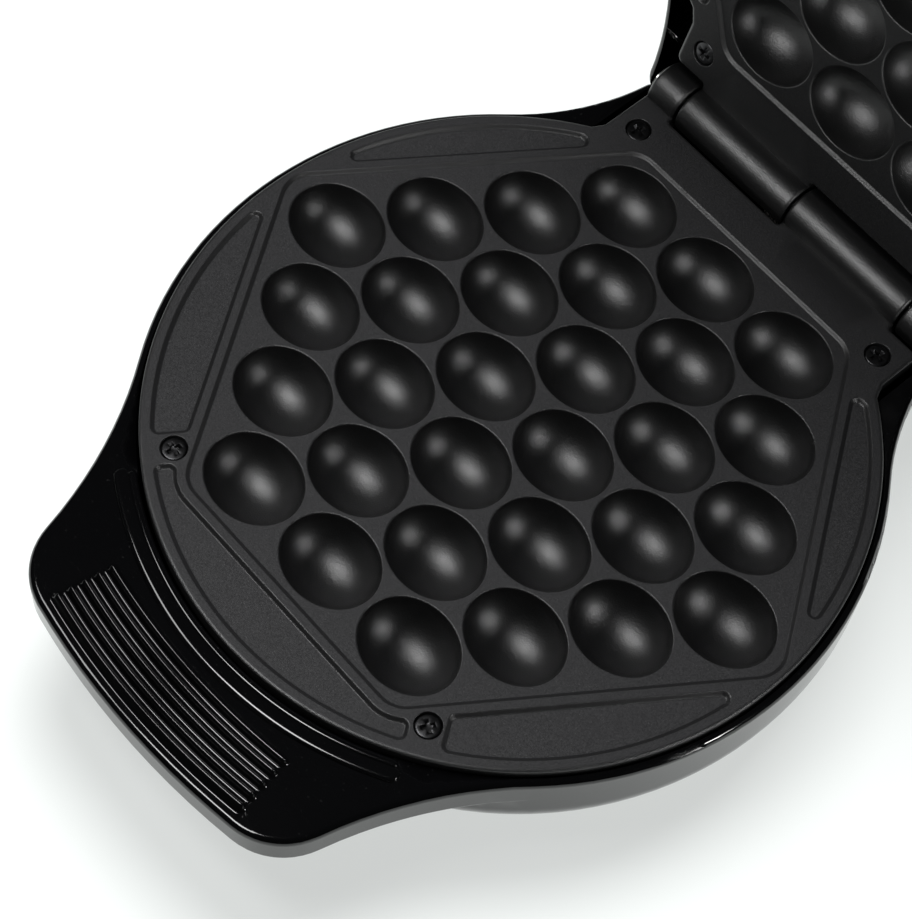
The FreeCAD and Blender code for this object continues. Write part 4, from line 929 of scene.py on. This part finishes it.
def make_finishes():
    speckle, handling = speckle_group(), handling_group()
    return {
        # The darkest colour (0.0015) is painted shade in the wells, on step walls and knuckles.
        "plate": coated_metal("non_stick_coating", speckle, (0.007, 0.007, 0.0073), (0.0135, 0.0135, 0.014),
                              (0.035, 0.035, 0.035), (0.0015, 0.0015, 0.0016), (0.46, 0.38), 2200.0),
        "casing": moulded("gloss_black_casing", handling, (0.0006, 0.0006, 0.0007), (0.09, 0.12)),
        "dark_screw": metal("blackened_screw", handling, (0.08, 0.08, 0.083), (0.32, 0.42)),
        "foot_rubber": moulded("foot_rubber", handling, (0.020, 0.020, 0.020), (0.72, 0.85), scale=90.0),
        "element": metal("oxidised_tube", handling, (0.26, 0.26, 0.25), (0.45, 0.6)),
        "steel": metal("zinc_plated", handling, (0.60, 0.60, 0.58), (0.25, 0.4)),
        "ceramic": moulded("unglazed_ceramic", handling, (0.72, 0.70, 0.64), (0.75, 0.9), scale=120.0),
        "bright_sheet": metal("bright_sheet", handling, (0.78, 0.78, 0.77), (0.18, 0.3), (1, 12, 1)),
        "fuse_case": metal("fuse_case", handling, (0.66, 0.64, 0.58), (0.35, 0.5)),
        "brass": metal("plain_brass", handling, (0.70, 0.50, 0.22), (0.25, 0.4)),
        "lead_sleeve": woven_sleeve("woven_sleeve"),
        "clamp_plastic": moulded("clamp_plastic", handling, (0.03, 0.03, 0.03), (0.5, 0.65), scale=60.0),
    }


# Light, floor and camera

def lamp(name, place, aim, size, power, color=(1, 1, 1), glossy=True):
    """A soft box at a place in millimetres, turned towards another."""
    data = bpy.data.lights.new(name, "AREA")
    data.shape = "RECTANGLE"
    data.size, data.size_y = size[0] * MM, size[1] * MM
    data.energy = power
    data.color = color
    item = object_of(name, data)
    item.location = Vector(place) * MM
    item.rotation_euler = (Vector(aim) - Vector(place)).to_track_quat("-Z", "Y").to_euler()
    item.visible_glossy = glossy
    return item


def studio():
    world = bpy.data.worlds.new("studio")
    world.use_nodes = True
    bpy.context.scene.world = world
    ground = world.node_tree.nodes["Background"]
    ground.inputs["Color"].default_value = (0.92, 1.0, 0.98, 1)
    ground.inputs["Strength"].default_value = LIGHT["world"]
    for part in ("key", "tail", "side"):
        lamp(part + "_light", LIGHT[part + "_place"], (0, -20, 46), LIGHT[part + "_size"], LIGHT[part + "_power"])
    data = bpy.data.lights.new("floor_fill", "SUN")
    data.energy = LIGHT["fill"]
    data.angle = math.radians(LIGHT["fill_angle"])
    fill = object_of("floor_fill", data)
    fill.rotation_euler = (-Vector(LIGHT["fill_from"])).to_track_quat("-Z", "Y").to_euler()
    fill.visible_glossy = False

    half = 3.0
    data = bpy.data.meshes.new("floor")
    data.from_pydata([(-half, -half, 0), (half, -half, 0), (half, half, 0), (-half, half, 0)], [], [(0, 1, 2, 3)])
    floor = object_of("floor", data)
    paint, shades, shader = finish_base("pale_floor", (0.18, 0.187, 0.184), 0.9)
    shader.inputs["Specular IOR Level"].default_value = 0.0
    shader.inputs["Emission Color"].default_value = (0.97, 1.0, 0.985, 1)
    shader.inputs["Emission Strength"].default_value = LIGHT["floor_glow"]
    data.materials.append(paint)


def camera():
    data = bpy.data.cameras.new("camera")
    data.lens = VIEW["lens"]
    data.shift_x, data.shift_y = VIEW["shift"]
    data.clip_start, data.clip_end = 0.05, 20
    item = object_of("camera", data)
    item.location = Vector(VIEW["place"]) * MM
    aim = (Vector(VIEW["aim"]) - Vector(VIEW["place"])).to_track_quat("-Z", "Y")
    item.rotation_euler = (aim @ Quaternion((0, 0, 1), math.radians(VIEW["roll"]))).to_euler()
    bpy.context.scene.camera = item


# Assembly

finishes = make_finishes()
for piece in frame["record"]["subparts"]:
    node = frame["nodes"][piece["node"]]
    finish = finishes[piece["material_slot"]]
    if not node.material_slots:
        node.data.materials.append(finish)
    for slot in node.material_slots:
        slot.material = finish

repeated = repeated_tree()
ribbed = rib_tree()


def settle(piece, body, slot, *nodes):
    """Give a piece its finish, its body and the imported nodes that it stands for."""
    piece.data.materials.clear()
    piece.data.materials.append(finishes[slot])
    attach(piece, body)
    if nodes:
        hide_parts(*nodes)


lower = cooking_plate(repeated, finishes["plate"])
upper = object_of("upper_casting", lower.data.copy())
lower.name = "lower_casting"
upper.data.transform(lid_place())
settle(lower, "base", "plate", "lower_plate")
settle(upper, "lid", "plate", "upper_plate")

screw = cross_screw()
lower_screws = object_of("lower_cross_screws", grown("screws", spots(SCREWS, FACE - PLATE["recess_depth"]), repeated,
                                                     {"Piece": screw, "Turn": math.pi / 2, "Seed": 3,
                                                      "Material": finishes["dark_screw"]}))
bpy.data.objects.remove(screw)
upper_screws = object_of("upper_cross_screws", lower_screws.data.copy())
upper_screws.data.transform(lid_place())
settle(lower_screws, "base", "dark_screw", "lower_plate_screws")
settle(upper_screws, "lid", "dark_screw", "upper_plate_screws")

settle(polished("base_shell", Matrix()), "base", "casing", "base_shell")
settle(polished("lid_shell", lid_place()), "lid", "casing", "lid_shell")
for node, slot in (("base_feet", "foot_rubber"), ("cord_gland", "foot_rubber"), ("hinge_pin", "steel"),
                   ("pin_clips", "steel")):
    settle(polished(node), "base", slot, node)

lower_relief = grip_relief(ribbed, finishes["casing"])
upper_relief = object_of("upper_grip_relief", lower_relief.data.copy())
lower_relief.name = "lower_grip_relief"
upper_relief.data.transform(lid_place())
settle(lower_relief, "base", "casing")
settle(upper_relief, "lid", "casing")

studio()
camera()
bpy.context.scene.view_settings.view_transform = "Standard"
